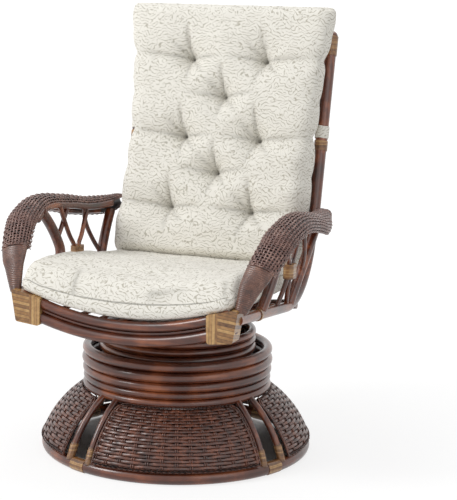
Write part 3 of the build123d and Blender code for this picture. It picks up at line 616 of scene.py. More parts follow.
# ---- Base ----
@dataclass
class WovenSkirt:
    """The woven panels between the pairs of legs.

    Angles are in degrees and lengths in mm. Heights are shares of the flank, 0 at its top.
    """

    turn: float = 22.4
    half_angle: float = 36.2
    top: tuple[float, float] = (219.0, 149.0)  # radius and height
    foot: tuple[float, float] = (317.5, 29.5)
    bulge: float = 13.0
    rows: int = 19
    columns: int = 12
    relief: float = 1.5
    first_row: float = 0.035
    rows_share: float = 0.93
    corner: float = 0.16
    weft_half: tuple[float, float] = (3.9, 0.8)
    stake_half: tuple[float, float] = (1.9, 1.1)
    stakes: tuple[float, float] = (0.03, 0.94)  # start and length
    twin_angle: float = 0.42
    rope_half: tuple[float, float] = (2.0, 2.0)
    rope_swing: float = 1.5
    rope_steps: int = 520
    rope_twists: int = 62
    rope_insets: tuple[float, ...] = (0.0, -0.028)
    # the dark sheet behind the weave is painted shade
    shade_sheet_lifts: tuple[float, float] = (-3.4, -5.4)
    shade_sheet_flank: tuple[float, float] = (0.02, 0.965)

    def point(self, angle: float, share: float, lift: float) -> Vector:
        """Find a point of a panel.

        Args:
            angle: angle from +X.
            share: height on the flank.
            lift: distance off the flank.

        Returns:
            The point in metres.
        """
        across = (self.foot[0] - self.top[0], self.foot[1] - self.top[1])
        length = math.hypot(*across)
        out = self.bulge * (1 - (2 * share - 1) ** 2) + lift
        radius = self.top[0] + across[0] * share - across[1] / length * out
        height = self.top[1] + across[1] * share + across[0] / length * out
        turn = math.radians(angle)
        return Vector((radius * math.cos(turn), radius * math.sin(turn), height)) * MM

    def axes(self, angle: float, share: float, lift: float) -> Axes:
        """Find a point of a panel with its directions.

        Args:
            angle: angle from +X.
            share: height on the flank.
            lift: distance off the flank.

        Returns:
            The point, the direction down the flank and the outward one.
        """
        here = self.point(angle, share, lift)
        down = (self.point(angle, share + 0.01, lift) - here).normalized()
        out = (self.point(angle, share, lift + 1.0) - here).normalized()
        return here, down, out

    def rim(self, share: float) -> tuple[float, float]:
        """Walk round a panel's rim, its upper corners rounded.

        Args:
            share: 0 to 1 once round.

        Returns:
            Place across from -1 to 1, and height.
        """
        walk = share * 4
        t = walk - int(walk)
        across, height = ((-1 + 2 * t, 1.0), (1.0, 1 - t), (1 - 2 * t, 0.0),
                          (-1.0, t))[int(walk) % 4]
        near = max(0.0, abs(across) - (1 - self.corner)) / self.corner
        if height < self.corner:
            drop = self.corner * (1 - math.sqrt(max(0.0, 1 - near * near)))
            height = max(height, drop)
        return across, height

    def add_wefts(self, bm: Mesh, middle: float) -> None:
        """Weave the flat strips that run across.

        Args:
            bm: the mesh that gets them.
            middle: the angle of the panel's middle.
        """
        pitch = 1.0 / self.rows
        for row in range(self.rows):
            height = self.first_row + (row + 0.5) * pitch * self.rows_share
            inset = 0.0
            if height < self.corner:
                inset = self.corner * (1 - rounded(height / self.corner))

            def weft(share: float) -> Axes:
                """Find the strip's spine at a share across the panel."""
                across = (share * 2 - 1) * (1 - inset)
                wave = math.cos(math.pi * ((across + 1) / 2 * self.columns + row))
                jog = 0.25 * noise.noise(Vector((across * 9, row * 3.1, middle)))
                return self.axes(middle + across * self.half_angle, height + jog * pitch * 0.4,
                                 self.relief * math.copysign(abs(wave) ** 0.6, wave))

            add_strand(bm, self.columns * 8, oval(self.weft_half), weft)

    def add_stakes(self, bm: Mesh, middle: float) -> None:
        """Weave the pairs of stakes that run down.

        Args:
            bm: the mesh that gets them.
            middle: the angle of the panel's middle.
        """
        pitch = self.rows_share / self.rows
        for column in range(1, self.columns):
            for twin in (-1, 1):
                angle = (column / self.columns * 2 - 1) * self.half_angle
                angle += twin * self.twin_angle

                def stake(share: float) -> Axes:
                    """Find the stake's spine at a share down the panel."""
                    height = self.stakes[0] + share * self.stakes[1]
                    wave = math.cos(math.pi * (column + (height - self.first_row) / pitch - 0.5))
                    here, down, out = self.axes(middle + angle, height,
                                                -self.relief * wave * 0.9)
                    return here, down.cross(out), out

                add_strand(bm, self.rows * 4, oval(self.stake_half), stake)

    def add_borders(self, bm: Mesh, middle: float) -> None:
        """Twist two ropes of two strands round the rim.

        Args:
            bm: the mesh that gets them.
            middle: the angle of the panel's middle.
        """
        for ring, inset in enumerate(self.rope_insets):
            for twin in (0, 1):

                def border(share: float) -> Axes:
                    """Find the rope strand's spine at a share of the rim."""
                    across, height = self.rim(share % 1.0)
                    height = 0.5 + (height - 0.5) * (1 + 2 * inset)
                    twist = 2 * math.pi * share * self.rope_twists * (1 if ring else -1)
                    twist += math.pi * twin
                    here, down, out = self.axes(
                        middle + across * (self.half_angle + inset * 40), height, 0.6)
                    side = down.cross(out)
                    here += (out * math.sin(twist) + (side + down).normalized()
                             * math.cos(twist)) * self.rope_swing * MM
                    return here, side, out

                add_strand(bm, self.rope_steps, oval(self.rope_half), border)

    def build(self, strand: Material, shade: Material) -> None:
        """Weave the four panels.

        Args:
            strand: the strands' material.
            shade: the painted-shade sheet's material.
        """
        for number in range(1, 5):
            middle = self.turn - 90 + 90 * (number - 1)
            bm = bmesh.new()
            self.add_wefts(bm, middle)
            self.add_stakes(bm, middle)
            self.add_borders(bm, middle)
            add_shade_sheet(bm, 10, 36, lambda share, across, outer: self.point(
                middle + across * (self.half_angle - 0.4),
                self.shade_sheet_flank[0] + share * self.shade_sheet_flank[1],
                self.shade_sheet_lifts[0 if outer else 1]))
            piece = finish_piece(bm, f"woven_skirt_{number}", [strand, shade], BASE_BODY)
            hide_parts(f"woven_panel_{number}")


@dataclass
class CoilSprings:
    """The four springs between the yoke and the seat's bracket."""

    wire: float = 2.5
    radius: float = 15.0
    turns: float = 6.0
    spread: tuple[float, float] = (32.0, 62.0)
    steps: int = 144
    corners: int = 10

    def build(self, steel: Material) -> None:
        """Build the four springs as one piece.

        Args:
            steel: their material.
        """
        low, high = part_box("rocker_springs")
        bottom, top = low.z + self.wire * MM, high.z - self.wire * MM
        bm = bmesh.new()
        for x in (-self.spread[0], self.spread[0]):
            for y in (-self.spread[1], self.spread[1]):

                def coil(share: float) -> Axes:
                    """Find the wire's spine at a share of its length."""
                    turn = 2 * math.pi * share * self.turns
                    out = Vector((math.cos(turn), math.sin(turn), 0))
                    here = Vector((x, y, 0)) * MM + out * self.radius * MM
                    here.z = bottom + (top - bottom) * share
                    return here, Vector((0, 0, 1)), out

                add_strand(bm, self.steps, oval((self.wire, self.wire), self.corners), coil)
        piece = finish_piece(bm, "coil_springs", [steel], None)
        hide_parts("rocker_springs")
        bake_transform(piece)


# ---- Arms ----
@dataclass
class WovenArm:
    """The woven band over an arm and its wrapped front.

    A station is x, y, z, half width, crown and roll, in mm and degrees, for the right arm.
    """

    stations: tuple[tuple[float, ...], ...] = (
        (292.6, -263.5, 490.8, 32.0, 15.0, 4.0), (306.0, -222.0, 531.0, 35.0, 16.0, 6.0),
        (312.0, -188.0, 554.0, 36.0, 18.0, 9.0), (319.0, -112.0, 574.0, 35.0, 18.0, 14.0),
        (314.0, -5.0, 563.0, 35.0, 18.0, 18.0), (305.0, 92.0, 546.0, 34.0, 18.0, 24.0),
        (290.0, 186.0, 538.0, 30.0, 17.0, 38.0), (280.0, 240.0, 538.0, 25.0, 13.0, 54.0),
        (277.0, 276.0, 541.0, 13.0, 8.0, 60.0))
    front: tuple[tuple[float, ...], ...] = (
        (266.0, -307.0, 404.0, 13.0, 11.0, 12.0), (273.0, -299.0, 430.0, 18.5, 11.5, 11.0),
        (280.0, -289.0, 456.0, 24.0, 12.0, 10.0), (286.5, -277.5, 473.0, 28.0, 12.8, 7.0),
        (294.5, -257.5, 496.0, 31.6, 13.6, 4.5))
    rim: float = 8.0
    reach: float = math.radians(98)  # how far the weave goes round on each side
    strands: int = 15
    rows: int = 74
    strand_half: tuple[float, float] = (2.15, 1.2)
    strand_wave: tuple[float, float] = (0.4, 1.25)  # lift and swing
    calm_wave: float = 0.35
    calm_every: int = 6
    weft_half: tuple[float, float] = (1.7, 0.7)
    weft_wave: tuple[float, float] = (0.2, 0.9)
    # the dark sheet behind the weave is painted shade
    shade_sheet_lifts: tuple[float, float] = (-1.6, -5.6)
    windings: int = 30
    winding_steps: int = 6
    wound_corners: int = 44
    ripple: float = 1.1
    wobble: float = 0.3

    def frame_at(self, rows: Rows, share: float,
                 side: int) -> tuple[Vector, Vector, Vector, float, float]:
        """Find the arm's frame at a share of its length.

        Args:
            rows: the stations.
            share: 0 at the front, 1 at the rear.
            side: 1 on the right, -1 on the left.

        Returns:
            The middle, the direction across, the outward one, the half width and the crown.
        """
        x, y, z, half, crown, roll = smooth_value(rows, share)
        ahead = smooth_value(rows, share + 0.01)[:3]
        behind = smooth_value(rows, share - 0.01)[:3]
        run = (Vector(ahead) - Vector(behind)).normalized()
        across = (Vector((1, 0, 0)) - run * run.x).normalized()
        out = across.cross(run)
        angle = math.radians(roll)
        wide = across * math.cos(angle) - out * math.sin(angle)
        up = across * math.sin(angle) + out * math.cos(angle)
        flip = Vector((side, 1, 1))
        return Vector((x, y, z)) * flip * MM, wide * flip, up * flip, half, crown

    def surface(self, share: float, angle: float, lift: float, side: int) -> Axes:
        """Find a point of the band with its directions.

        Args:
            share: 0 at the front, 1 at the rear.
            angle: angle round the band from its top.
            lift: distance off the band in mm.
            side: 1 on the right, -1 on the left.

        Returns:
            The point, the direction round the band and the outward one.
        """
        middle, wide, up, half, crown = self.frame_at(self.stations, share, side)
        high = crown + self.rim
        sine, cosine = math.sin(angle), math.cos(angle)
        out = (wide * sine * high + up * cosine * half).normalized()
        here = middle + (wide * half * sine + up * (high * cosine - self.rim)) * MM
        return here + out * lift * MM, (wide * cosine * half - up * sine * high).normalized(), out

    def band(self, side: int, name: str, strand: Material, shade: Material) -> None:
        """Weave one arm's band.

        Args:
            side: 1 on the right, -1 on the left.
            name: the side's name.
            strand: the strands' material.
            shade: the painted-shade sheet's material.
        """
        bm = bmesh.new()
        for number in range(self.strands):
            angle = (number / (self.strands - 1) * 2 - 1) * self.reach

            def strand_at(share: float) -> Axes:
                """Find the strand's spine at a share along the arm."""
                row = share * self.rows
                calm = int(row / 2) % self.calm_every == self.calm_every - 1
                wave = math.cos(math.pi * (row + number)) * (self.calm_wave if calm else 1.0)
                lift, swing = self.strand_wave
                return self.surface(share, angle, lift + swing * wave, side)

            add_strand(bm, self.rows * 4, oval(self.strand_half), strand_at)
        for row in range(self.rows):

            def weft(share: float) -> Axes:
                """Find the strip's spine at a share across the arm."""
                wave = math.cos(math.pi * (row + 1 + share * (self.strands - 1)))
                lift, swing = self.weft_wave
                here, across, out = self.surface(
                    (row + 0.5) / self.rows, (share * 2 - 1) * self.reach, lift - swing * wave,
                    side)
                return here, across.cross(out), out

            add_strand(bm, self.strands * 3, oval(self.weft_half), weft)
        add_shade_sheet(bm, 60, 11, lambda share, across, outer: self.surface(
            share, across * self.reach * 0.97, self.shade_sheet_lifts[0 if outer else 1], side)[0])
        piece = finish_piece(bm, f"woven_arm_{name}", [strand, shade], SEAT_BODY)
        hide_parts(f"arm_band_{name}")

    def wrapped_front(self, side: int, name: str, wrap: Material) -> None:
        """Wind fine strand round the arm's tapered front.

        Args:
            side: 1 on the right, -1 on the left.
            name: the side's name.
            wrap: the strand's material.
        """
        bm = bmesh.new()
        layer = bm.verts.layers.float.new("fold")
        made = bmesh.ops.create_grid(bm, x_segments=self.windings * self.winding_steps,
                                     y_segments=self.wound_corners, size=0.5)
        for vert in made["verts"]:
            share, around = vert.co.x + 0.5, vert.co.y + 0.5
            middle, wide, up, half, crown = self.frame_at(self.front, share, side)
            turn = 2 * math.pi * around
            ripple = abs(math.sin(math.pi * (share * self.windings + around)))
            wobble = self.wobble * noise.noise(Vector((share * 20, around * 3, side)))
            grow = self.ripple * ripple ** 0.6 + wobble - 0.5
            # painted shade between the windings, stored in the fold mask
            vert[layer] = 0.85 * dent(ripple, 0.35, 1.5)
            vert.co = middle + (wide * math.cos(turn) * (half + grow)
                                + up * math.sin(turn) * (crown + grow)) * MM
        piece = finish_piece(bm, f"wrapped_arm_front_{name}", [wrap], SEAT_BODY)
        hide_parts(f"arm_front_{name}")

    def build(self, strand: Material, wrap: Material, shade: Material) -> None:
        """Build both arms.

        Args:
            strand: the band's material.
            wrap: the wrapped front's material.
            shade: the painted-shade sheet's material.
        """
        for name, side in SIDES.items():
            self.band(side, name, strand, shade)
            self.wrapped_front(side, name, wrap)


# ---- Cushions ----
@dataclass
class Crease:
    """A pulled or sewn line across a cushion, in the cushion's own mm."""

    start: tuple[float, float]
    end: tuple[float, float]
    depth: float
    width: float
    line_width: float = 4.5

    def drop(self, spot: Vector) -> tuple[float, float]:
        """Say how far the crease draws the cloth in, and how sharp it is.

        Args:
            spot: the place on the cushion.

        Returns:
            The depth in mm and a share from 0 to 1.
        """
        start, end = Vector(self.start), Vector(self.end)
        run = end - start
        share = min(max((spot - start).dot(run) / run.length_squared, 0.0), 1.0)
        distance = (spot - start - run * share).length
        fade = 1 - 0.8 * share ** 1.5
        sharp = dent(distance, self.line_width, 1.0) * fade
        return self.depth * (0.45 * sharp + 0.55 * fade * dent(distance, self.width * 1.7)), sharp


@dataclass
class Cushion:
    """A block from -1 to 1 that place() puffs, with its front at z = 1."""

    cells: tuple[int, int, int] = (1, 1, 1)
    corner: float = 2.0
    puff: float = 5.0  # mm that the sides bulge
    puff_within: float = 12.0
    lumps: tuple[tuple[float, float, float], ...] = ()  # mm high, turns per mm and seed

    def corners(self, spot: Vector) -> tuple[float, float]:
        """Round the block's corners.

        Args:
            spot: a spot of the block.

        Returns:
            Places across and along, from -1 to 1.
        """
        s, t = spot.x, spot.y
        most = max(abs(s), abs(t), 1e-6)
        norm = (abs(s) ** self.corner + abs(t) ** self.corner) ** (1 / self.corner)
        return s * most / norm, t * most / norm

    def bulge(self, place: float, amount: float) -> float:
        """Push a rim outwards.

        Args:
            place: place across or along, from -1 to 1.
            amount: the bulge at the rim.

        Returns:
            The way outwards, with the place's sign.
        """
        return math.copysign(amount, place) * min(1.0, abs(place) ** 8)

    def inside(self, shares: Iterable[float]) -> float:
        """Say how far inside its rounded rims a place is.

        Args:
            shares: for each rim 0 on it and 1 where its rounding ends.

        Returns:
            0 on a rim, 1 inside all.
        """
        gaps = sum((1 - min(max(share, 0.0), 1.0)) ** 3 for share in shares) ** (1 / 3)
        return 1 - min(gaps, 1.0)

    def place(self, spot: Vector) -> Vector:
        """Turn a spot of the block into a spot of the cushion.

        Args:
            spot: the spot.

        Returns:
            The point in metres.
        """
        raise NotImplementedError

    def fold(self, spot: Vector) -> float:
        """Say how much painted shade a spot of the block gets, by how deep in a fold it lies.

        Args:
            spot: the spot.

        Returns:
            A share from 0 to 1.
        """
        raise NotImplementedError

    def shape(self, name: str, cloth: Material) -> bpy.types.Object:
        """Shape the cushion from a block.

        Args:
            name: the piece's name.
            cloth: its material.

        Returns:
            The piece.
        """
        bm = bmesh.new()
        bmesh.ops.create_cube(bm, size=2.0)
        for axis, cuts in enumerate(self.cells):
            edges = [edge for edge in bm.edges
                     if abs(edge.verts[0].co[axis] - edge.verts[1].co[axis]) > 1e-4]
            bmesh.ops.subdivide_edges(bm, edges=edges, cuts=cuts, use_grid_fill=True)
        layer = bm.verts.layers.float.new("fold")
        for vert in bm.verts:
            # the fold mask sets painted shade in the cloth's colour
            vert[layer] = min(1.0, self.fold(vert.co))
            vert.co = self.place(vert.co)
        return finish_piece(bm, name, [cloth], SEAT_BODY)


@dataclass
class SeatCushion(Cushion):
    """The loose seat cushion with a boxed edge.

    A station is y, half width, low edge, low middle, high middle and high edge, in mm.
    """

    stations: tuple[tuple[float, ...], ...] = (
        (-315.0, 248.0, 405.0, 368.0, 447.0, 461.0), (-262.0, 252.0, 400.0, 356.0, 453.0, 471.0),
        (-230.0, 250.0, 396.0, 350.5, 455.0, 473.0), (-150.0, 246.0, 388.0, 348.2, 459.0, 471.0),
        (-60.0, 241.0, 383.0, 348.0, 454.0, 461.0), (30.0, 237.0, 379.0, 348.0, 443.0, 446.0),
        (86.0, 235.0, 377.0, 348.2, 437.0, 439.5), (126.0, 232.0, 377.0, 350.0, 434.5, 436.5),
        (158.0, 226.0, 384.0, 358.0, 426.0, 428.0))
    cells: tuple[int, int, int] = (120, 110, 14)
    corner: float = 26.0
    lumps: tuple[tuple[float, float, float], ...] = ((2.2, 0.014, 0.0), (1.0, 0.045, 5.0))
    front: float = -319.0
    rear: float = 157.0
    side_round: float = 27.0
    front_round: float = 44.0
    rear_round: float = 30.0
    under_round: float = 20.0
    under_rise: float = 5.0
    seam_level: float = 0.86
    seam_depth: float = 3.0
    front_seam: float = 406.0
    front_seam_rise: float = 27.0
    rear_seam: float = 0.68
    knees_from: float = -200.0
    knees: tuple[float, float, float] = (4.0, 40.0, 60.0)  # depth, middle and width
    pulls: tuple[Crease, ...] = (
        Crease((-118, -316), (-126, -250), 5.0, 14.0),
        Crease((232, -312), (214, -262), 7.0, 12.0),
        Crease((60, -312), (150, -304), 2.0, 9.0))

    def seam(self, x: float, y: float, floor: float, crown: float) -> float:
        """Find the height of the boxed edge's upper seam.

        Args:
            x: place across in mm.
            y: place along in mm.
            floor: height of the underside.
            crown: height of the top.

        Returns:
            The height in mm.
        """
        front = 1 - min(max((y + 300) / 160, 0.0), 1.0)
        line = self.front_seam + self.front_seam_rise * (x / 235) ** 2
        return line * front + (floor + (crown - floor) * self.rear_seam) * (1 - front)

    def place(self, spot: Vector) -> Vector:
        """Turn a spot of the block into a spot of the cushion.

        Args:
            spot: the spot.

        Returns:
            The point in metres.
        """
        h = spot.z
        s, t = self.corners(spot)
        y = self.front + (self.rear - self.front) * (t + 1) / 2
        half, low_edge, low, high, high_edge = table_value(self.stations, y)
        x = s * half
        to_side, to_front, to_rear = half * (1 - abs(s)), y - self.front, self.rear - y
        to_edge = min(to_side, to_front, to_rear)
        bowl = (abs(x) / (half * 0.93)) ** 2
        floor = low + (low_edge - low) * bowl
        crown = high + (high_edge - high) * bowl
        if y < self.knees_from:
            depth, middle, width = self.knees
            crown -= depth * dent(abs(x) - middle, width, 2)
        seam = self.seam(x, y, floor, crown)
        inside = self.inside((to_side / self.side_round, to_front / self.front_round,
                              to_rear / self.rear_round))
        top = seam + (crown - seam) * rounded(inside, 2.2)
        bottom = floor + self.under_rise * (1 - rounded(to_edge / self.under_round))
        z = bottom + (top - bottom) * (h + 1) / 2
        amount = self.puff * (1 - h * h) - self.seam_depth * dent(h - self.seam_level, 0.06, 2)
        amount *= 1 - min(to_edge / self.puff_within, 1.0)
        x += self.bulge(s, amount)
        y += self.bulge(t, amount)
        if h > 0.99:
            z += sum(high * noise.noise(Vector((x, y, seed)) * often)
                     for high, often, seed in self.lumps)
            for pull in self.pulls:
                z -= pull.drop(Vector((x, y)))[0]
        return Vector((x, y, z)) * MM

    def fold(self, spot: Vector) -> float:
        """Mark painted shade along the seam and the pulls.

        Args:
            spot: a spot of the block.

        Returns:
            A share from 0 to 1.
        """
        if spot.z < 0.99:
            return 0.8 * dent(spot.z - self.seam_level, 0.06, 2) if spot.z > -0.99 else 0.0
        y = self.front + (self.rear - self.front) * (spot.y + 1) / 2
        return 0.5 * max(pull.drop(Vector((spot.x * 246, y)))[1] for pull in self.pulls)

    def build(self, cloth: Material) -> None:
        """Build the seat cushion.

        Args:
            cloth: its material.
        """
        piece = self.shape("seat_cushion_cloth", cloth)
        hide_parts("seat_cushion")


@dataclass
class BackCushion(Cushion):
    """The tufted back cushion that leans on the posts.

    A station is the reach up the posts, half width, near edge, far edge and full depth,
    in mm. A tuft is its reach, its x and its depth.
    """

    stations: tuple[tuple[float, ...], ...] = (
        (70.0, 236.0, 10.0, 62.0, 84.0), (106.0, 240.0, 6.0, 70.0, 102.0),
        (150.0, 242.0, 3.0, 64.0, 104.0), (202.0, 241.0, 3.0, 54.0, 92.0),
        (248.0, 240.0, 3.0, 50.0, 90.0), (295.0, 240.0, 3.0, 44.0, 80.0),
        (338.0, 240.0, 3.0, 42.0, 80.0), (382.0, 238.0, 3.0, 38.0, 72.0),
        (434.0, 241.0, 5.0, 48.0, 75.0), (485.0, 243.0, 8.0, 52.0, 73.0),
        (532.0, 245.0, 10.0, 56.0, 75.0), (578.0, 249.0, 12.0, 58.0, 72.0),
        (636.0, 256.0, 14.0, 62.0, 75.0), (680.0, 262.0, 16.0, 64.0, 74.0),
        (712.0, 262.0, 20.0, 60.0, 70.0))
    cells: tuple[int, int, int] = (150, 190, 12)
    corner: float = 60.0
    lumps: tuple[tuple[float, float, float], ...] = ((3.0, 0.016, 3.0), (1.1, 0.05, 8.0))
    stand_off: float = 15.8
    bottom: float = 74.0
    top: float = 710.0
    side_round: float = 44.0
    end_round: float = 24.0
    rear_round: float = 30.0
    rear_rise: float = 9.0
    edge_share: float = 0.84
    pinches: tuple[tuple[float, float], ...] = (
        (205.0, 4.0), (300.0, 4.0), (398.0, 9.0), (485.0, 4.0), (585.0, 8.0))
    tufts: tuple[tuple[float, float, float], ...] = (
        (202.0, -105.0, 30.0), (202.0, 105.0, 30.0), (295.0, 0.0, 38.0),
        (382.0, -98.0, 38.0), (382.0, 98.0, 38.0), (485.0, 0.0, 33.0),
        (578.0, -97.0, 34.0), (578.0, 97.0, 34.0))
    tuft_width: float = 34.0
    tuft_pucker: tuple[float, float, float] = (1.6, 18.0, 14.0)  # depth, middle and width
    tuft_folds: int = 7

    @cached_property
    def pulls(self) -> list[Crease]:
        """Run creases from each tuft.

        Returns:
            The creases.
        """
        lines = []
        for reach, x, _ in self.tufts:
            side = math.copysign(1, x) if x else 0
            ends = [((x - 5, reach + 80), 27.0, 12.0),
                    ((x - 10 * side - 5, reach - 62), 23.0, 12.0),
                    ((x + 46, reach - 40), 12.0, 10.0), ((x - 44, reach + 42), 10.0, 10.0)]
            if side:
                ends += [((side * 236, reach + 8), 22.0, 15.0),
                         ((side * 14, reach + 4), 19.0, 14.0)]
            else:
                ends += [((-90, reach + 4), 15.0, 14.0), ((90, reach + 10), 15.0, 14.0)]
            lines += [Crease((x, reach), end, depth, width) for end, depth, width in ends]
        return lines

    def pull(self, flat: Vector) -> tuple[float, float]:
        """Say how far tufts and creases draw the cloth in, and how sharply.

        Args:
            flat: place across the cushion and up the posts.

        Returns:
            The depth in mm and a share from 0 to 1.
        """
        drop = sharp = 0.0
        pucker, pucker_at, pucker_width = self.tuft_pucker
        for reach, x, depth in self.tufts:
            away = flat - Vector((x, reach))
            distance = away.length
            drop = max(drop, depth * dent(distance, self.tuft_width, 1.05))
            folds = math.cos(self.tuft_folds * math.atan2(away.y, away.x) + x)
            drop += pucker * folds * dent(distance - pucker_at, pucker_width, 2)
            sharp = max(sharp, dent(distance, 9, 1.2))
        for crease in self.pulls:
            depth, line = crease.drop(flat)
            drop = max(drop, depth) + 0.3 * min(drop, depth)
            sharp = max(sharp, 0.75 * line)
        return drop, sharp

    def place(self, spot: Vector) -> Vector:
        """Turn a spot of the block into a spot of the cushion.

        Args:
            spot: the spot.

        Returns:
            The point in metres.
        """
        h = spot.z
        s, t = self.corners(spot)
        reach = self.bottom + (self.top - self.bottom) * (t + 1) / 2
        half, near, far, full = table_value(self.stations, reach)
        half -= sum(depth * dent(reach - middle, 17, 1.6) for middle, depth in self.pinches)
        x = s * half
        to_side, to_end = half * (1 - abs(s)), min(reach - self.bottom, self.top - reach)
        to_edge = min(to_side, to_end)
        inside = self.inside((to_side / self.side_round, to_end / self.end_round))
        edge = far * self.edge_share
        front = edge + (full - edge) * rounded(inside, 2.2)
        back = self.rear_rise * (1 - rounded(to_edge / self.rear_round)) + near * (1 - inside)
        if h > 0.99:
            front -= self.pull(Vector((x, reach)))[0] * min(1.0, 0.35 + to_edge / 30)
            for high, often, seed in self.lumps:
                front += high * noise.noise(Vector((x, reach, seed)) * often)
        depth = back + (front - back) * (h + 1) / 2
        amount = self.puff * (1 - h * h) * (1 - min(to_edge / self.puff_within, 1.0))
        x += self.bulge(s, amount)
        reach += self.bulge(t, amount)
        ahead = self.stand_off + depth
        sine, cosine = math.sin(POST_RECLINE), math.cos(POST_RECLINE)
        return Vector((x, POST_BEND[0] + reach * sine - ahead * cosine,
                       POST_BEND[1] + reach * cosine + ahead * sine)) * MM

    def fold(self, spot: Vector) -> float:
        """Mark painted shade in the tufts and the creases.

        Args:
            spot: a spot of the block.

        Returns:
            A share from 0 to 1.
        """
        if spot.z < 0.99:
            return 0.0
        reach = self.bottom + (self.top - self.bottom) * (spot.y + 1) / 2
        return 0.62 * self.pull(Vector((spot.x * 242, reach)))[1]

    def build(self, cloth: Material) -> None:
        """Build the back cushion.

        Args:
            cloth: its material.
        """
        piece = self.shape("back_cushion_cloth", cloth)
        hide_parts("back_cushion")


@dataclass
class Straps:
    """The cloth straps round the back posts."""

    x: float = 245.0
    reach: float = 402.0
    height: float = 30.0
    inner: float = 15.32
    thick: float = 2.2
    cells: tuple[int, int] = (48, 16)

    def build(self, cloth: Material) -> None:
        """Build both straps as one piece.

        Args:
            cloth: their material.
        """
        bm = bmesh.new()
        up = Vector((0, math.sin(POST_RECLINE), math.cos(POST_RECLINE)))
        back = Vector((0, math.cos(POST_RECLINE), -math.sin(POST_RECLINE)))
        for side in (-1, 1):
            centre = Vector((side * self.x, *POST_BEND))

            def band(along: float, around: float) -> Vector:
                """Find a point of the strap round the post."""
                turn = 2 * math.pi * along
                ring = 2 * math.pi * around
                crinkle = 0.35 * math.sin(3 * turn + side) + 0.25 * math.sin(7 * turn)
                radius = self.inner + self.thick * (0.5 + 0.5 * math.cos(ring))
                rise = self.reach + self.height / 2 * (1 + math.sin(ring)) + crinkle
                out = Vector((math.cos(turn), 0, 0)) + back * math.sin(turn)
                return (centre + up * rise + out * radius) * MM

            add_sheet(bm, *self.cells, band)
        piece = finish_piece(bm, "post_straps", [cloth], SEAT_BODY)
        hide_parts("cushion_straps")


# ---- Frame nodes ----
@dataclass
class FrameDress:
    """Finishes for the CAD nodes that stay in view. A name that ends in _ has two sides."""

    nodes: dict[str, bpy.types.Object]

    def dress(self, finish: Finish, *names: str) -> None:
        """Give nodes one finish.

        Args:
            finish: the finish.
            names: the nodes' names.
        """
        material = finish.build()
        for name in names:
            ends = SIDES if name.endswith("_") else ("",)
            for end in ends:
                data = self.nodes[name + end].data
                data.materials.clear()
                data.materials.append(material)
                data.shade_smooth()

    def build(self) -> None:
        """Dress every node of the frame."""
        self.dress(StainedPole("ring_rattan", grain=Grain.ROUND), "floor_ring",
                   *[f"stack_ring_{k}" for k in range(1, 6)],
                   *[f"drum_ring_{k}" for k in range(1, 4)])
        self.dress(StainedPole("cross_rattan", grain=Grain.ALONG_X), "front_rail_top",
                   "front_rail_thin", "front_rail_low", "inner_front_rail", "seat_cross_rails",
                   "back_cross_rails")
        self.dress(StainedPole("side_rattan", grain=Grain.ALONG_Y), "side_rail_", "seat_slats",
                   "arm_poles_")
        self.dress(StainedPole("upright_rattan"), "base_legs", "back_post_", "back_canes",
                   "arm_supports_", "side_canes_")
        self.dress(Peel("wound_peel"), "post_bindings", "leg_bindings", "cane_binding_")
        self.dress(Peel("corner_peel", across=(0.12, 0.2, 0.97), pitch=7.0,
                        upright_within=222.0, dark="#4E2E18", middle="#94693A",
                        light="#C79F66"), "corner_binding_")
        self.dress(PlatedSteel("zinc_plate"), "base_plate", "plate_bolts", "bearing_housing",
                   "spindle", "spindle_nut", "rocker_yoke", "pivot_pin", "rocker_bracket",
                   "board_bolts")
        self.dress(Nylon("bearing_nylon"), "thrust_washer")
        self.dress(Timber("frame_timber"), "seat_boards", "base_beam_lower", "base_beam_upper")
        log.info("frame: %d nodes", len(self.nodes))


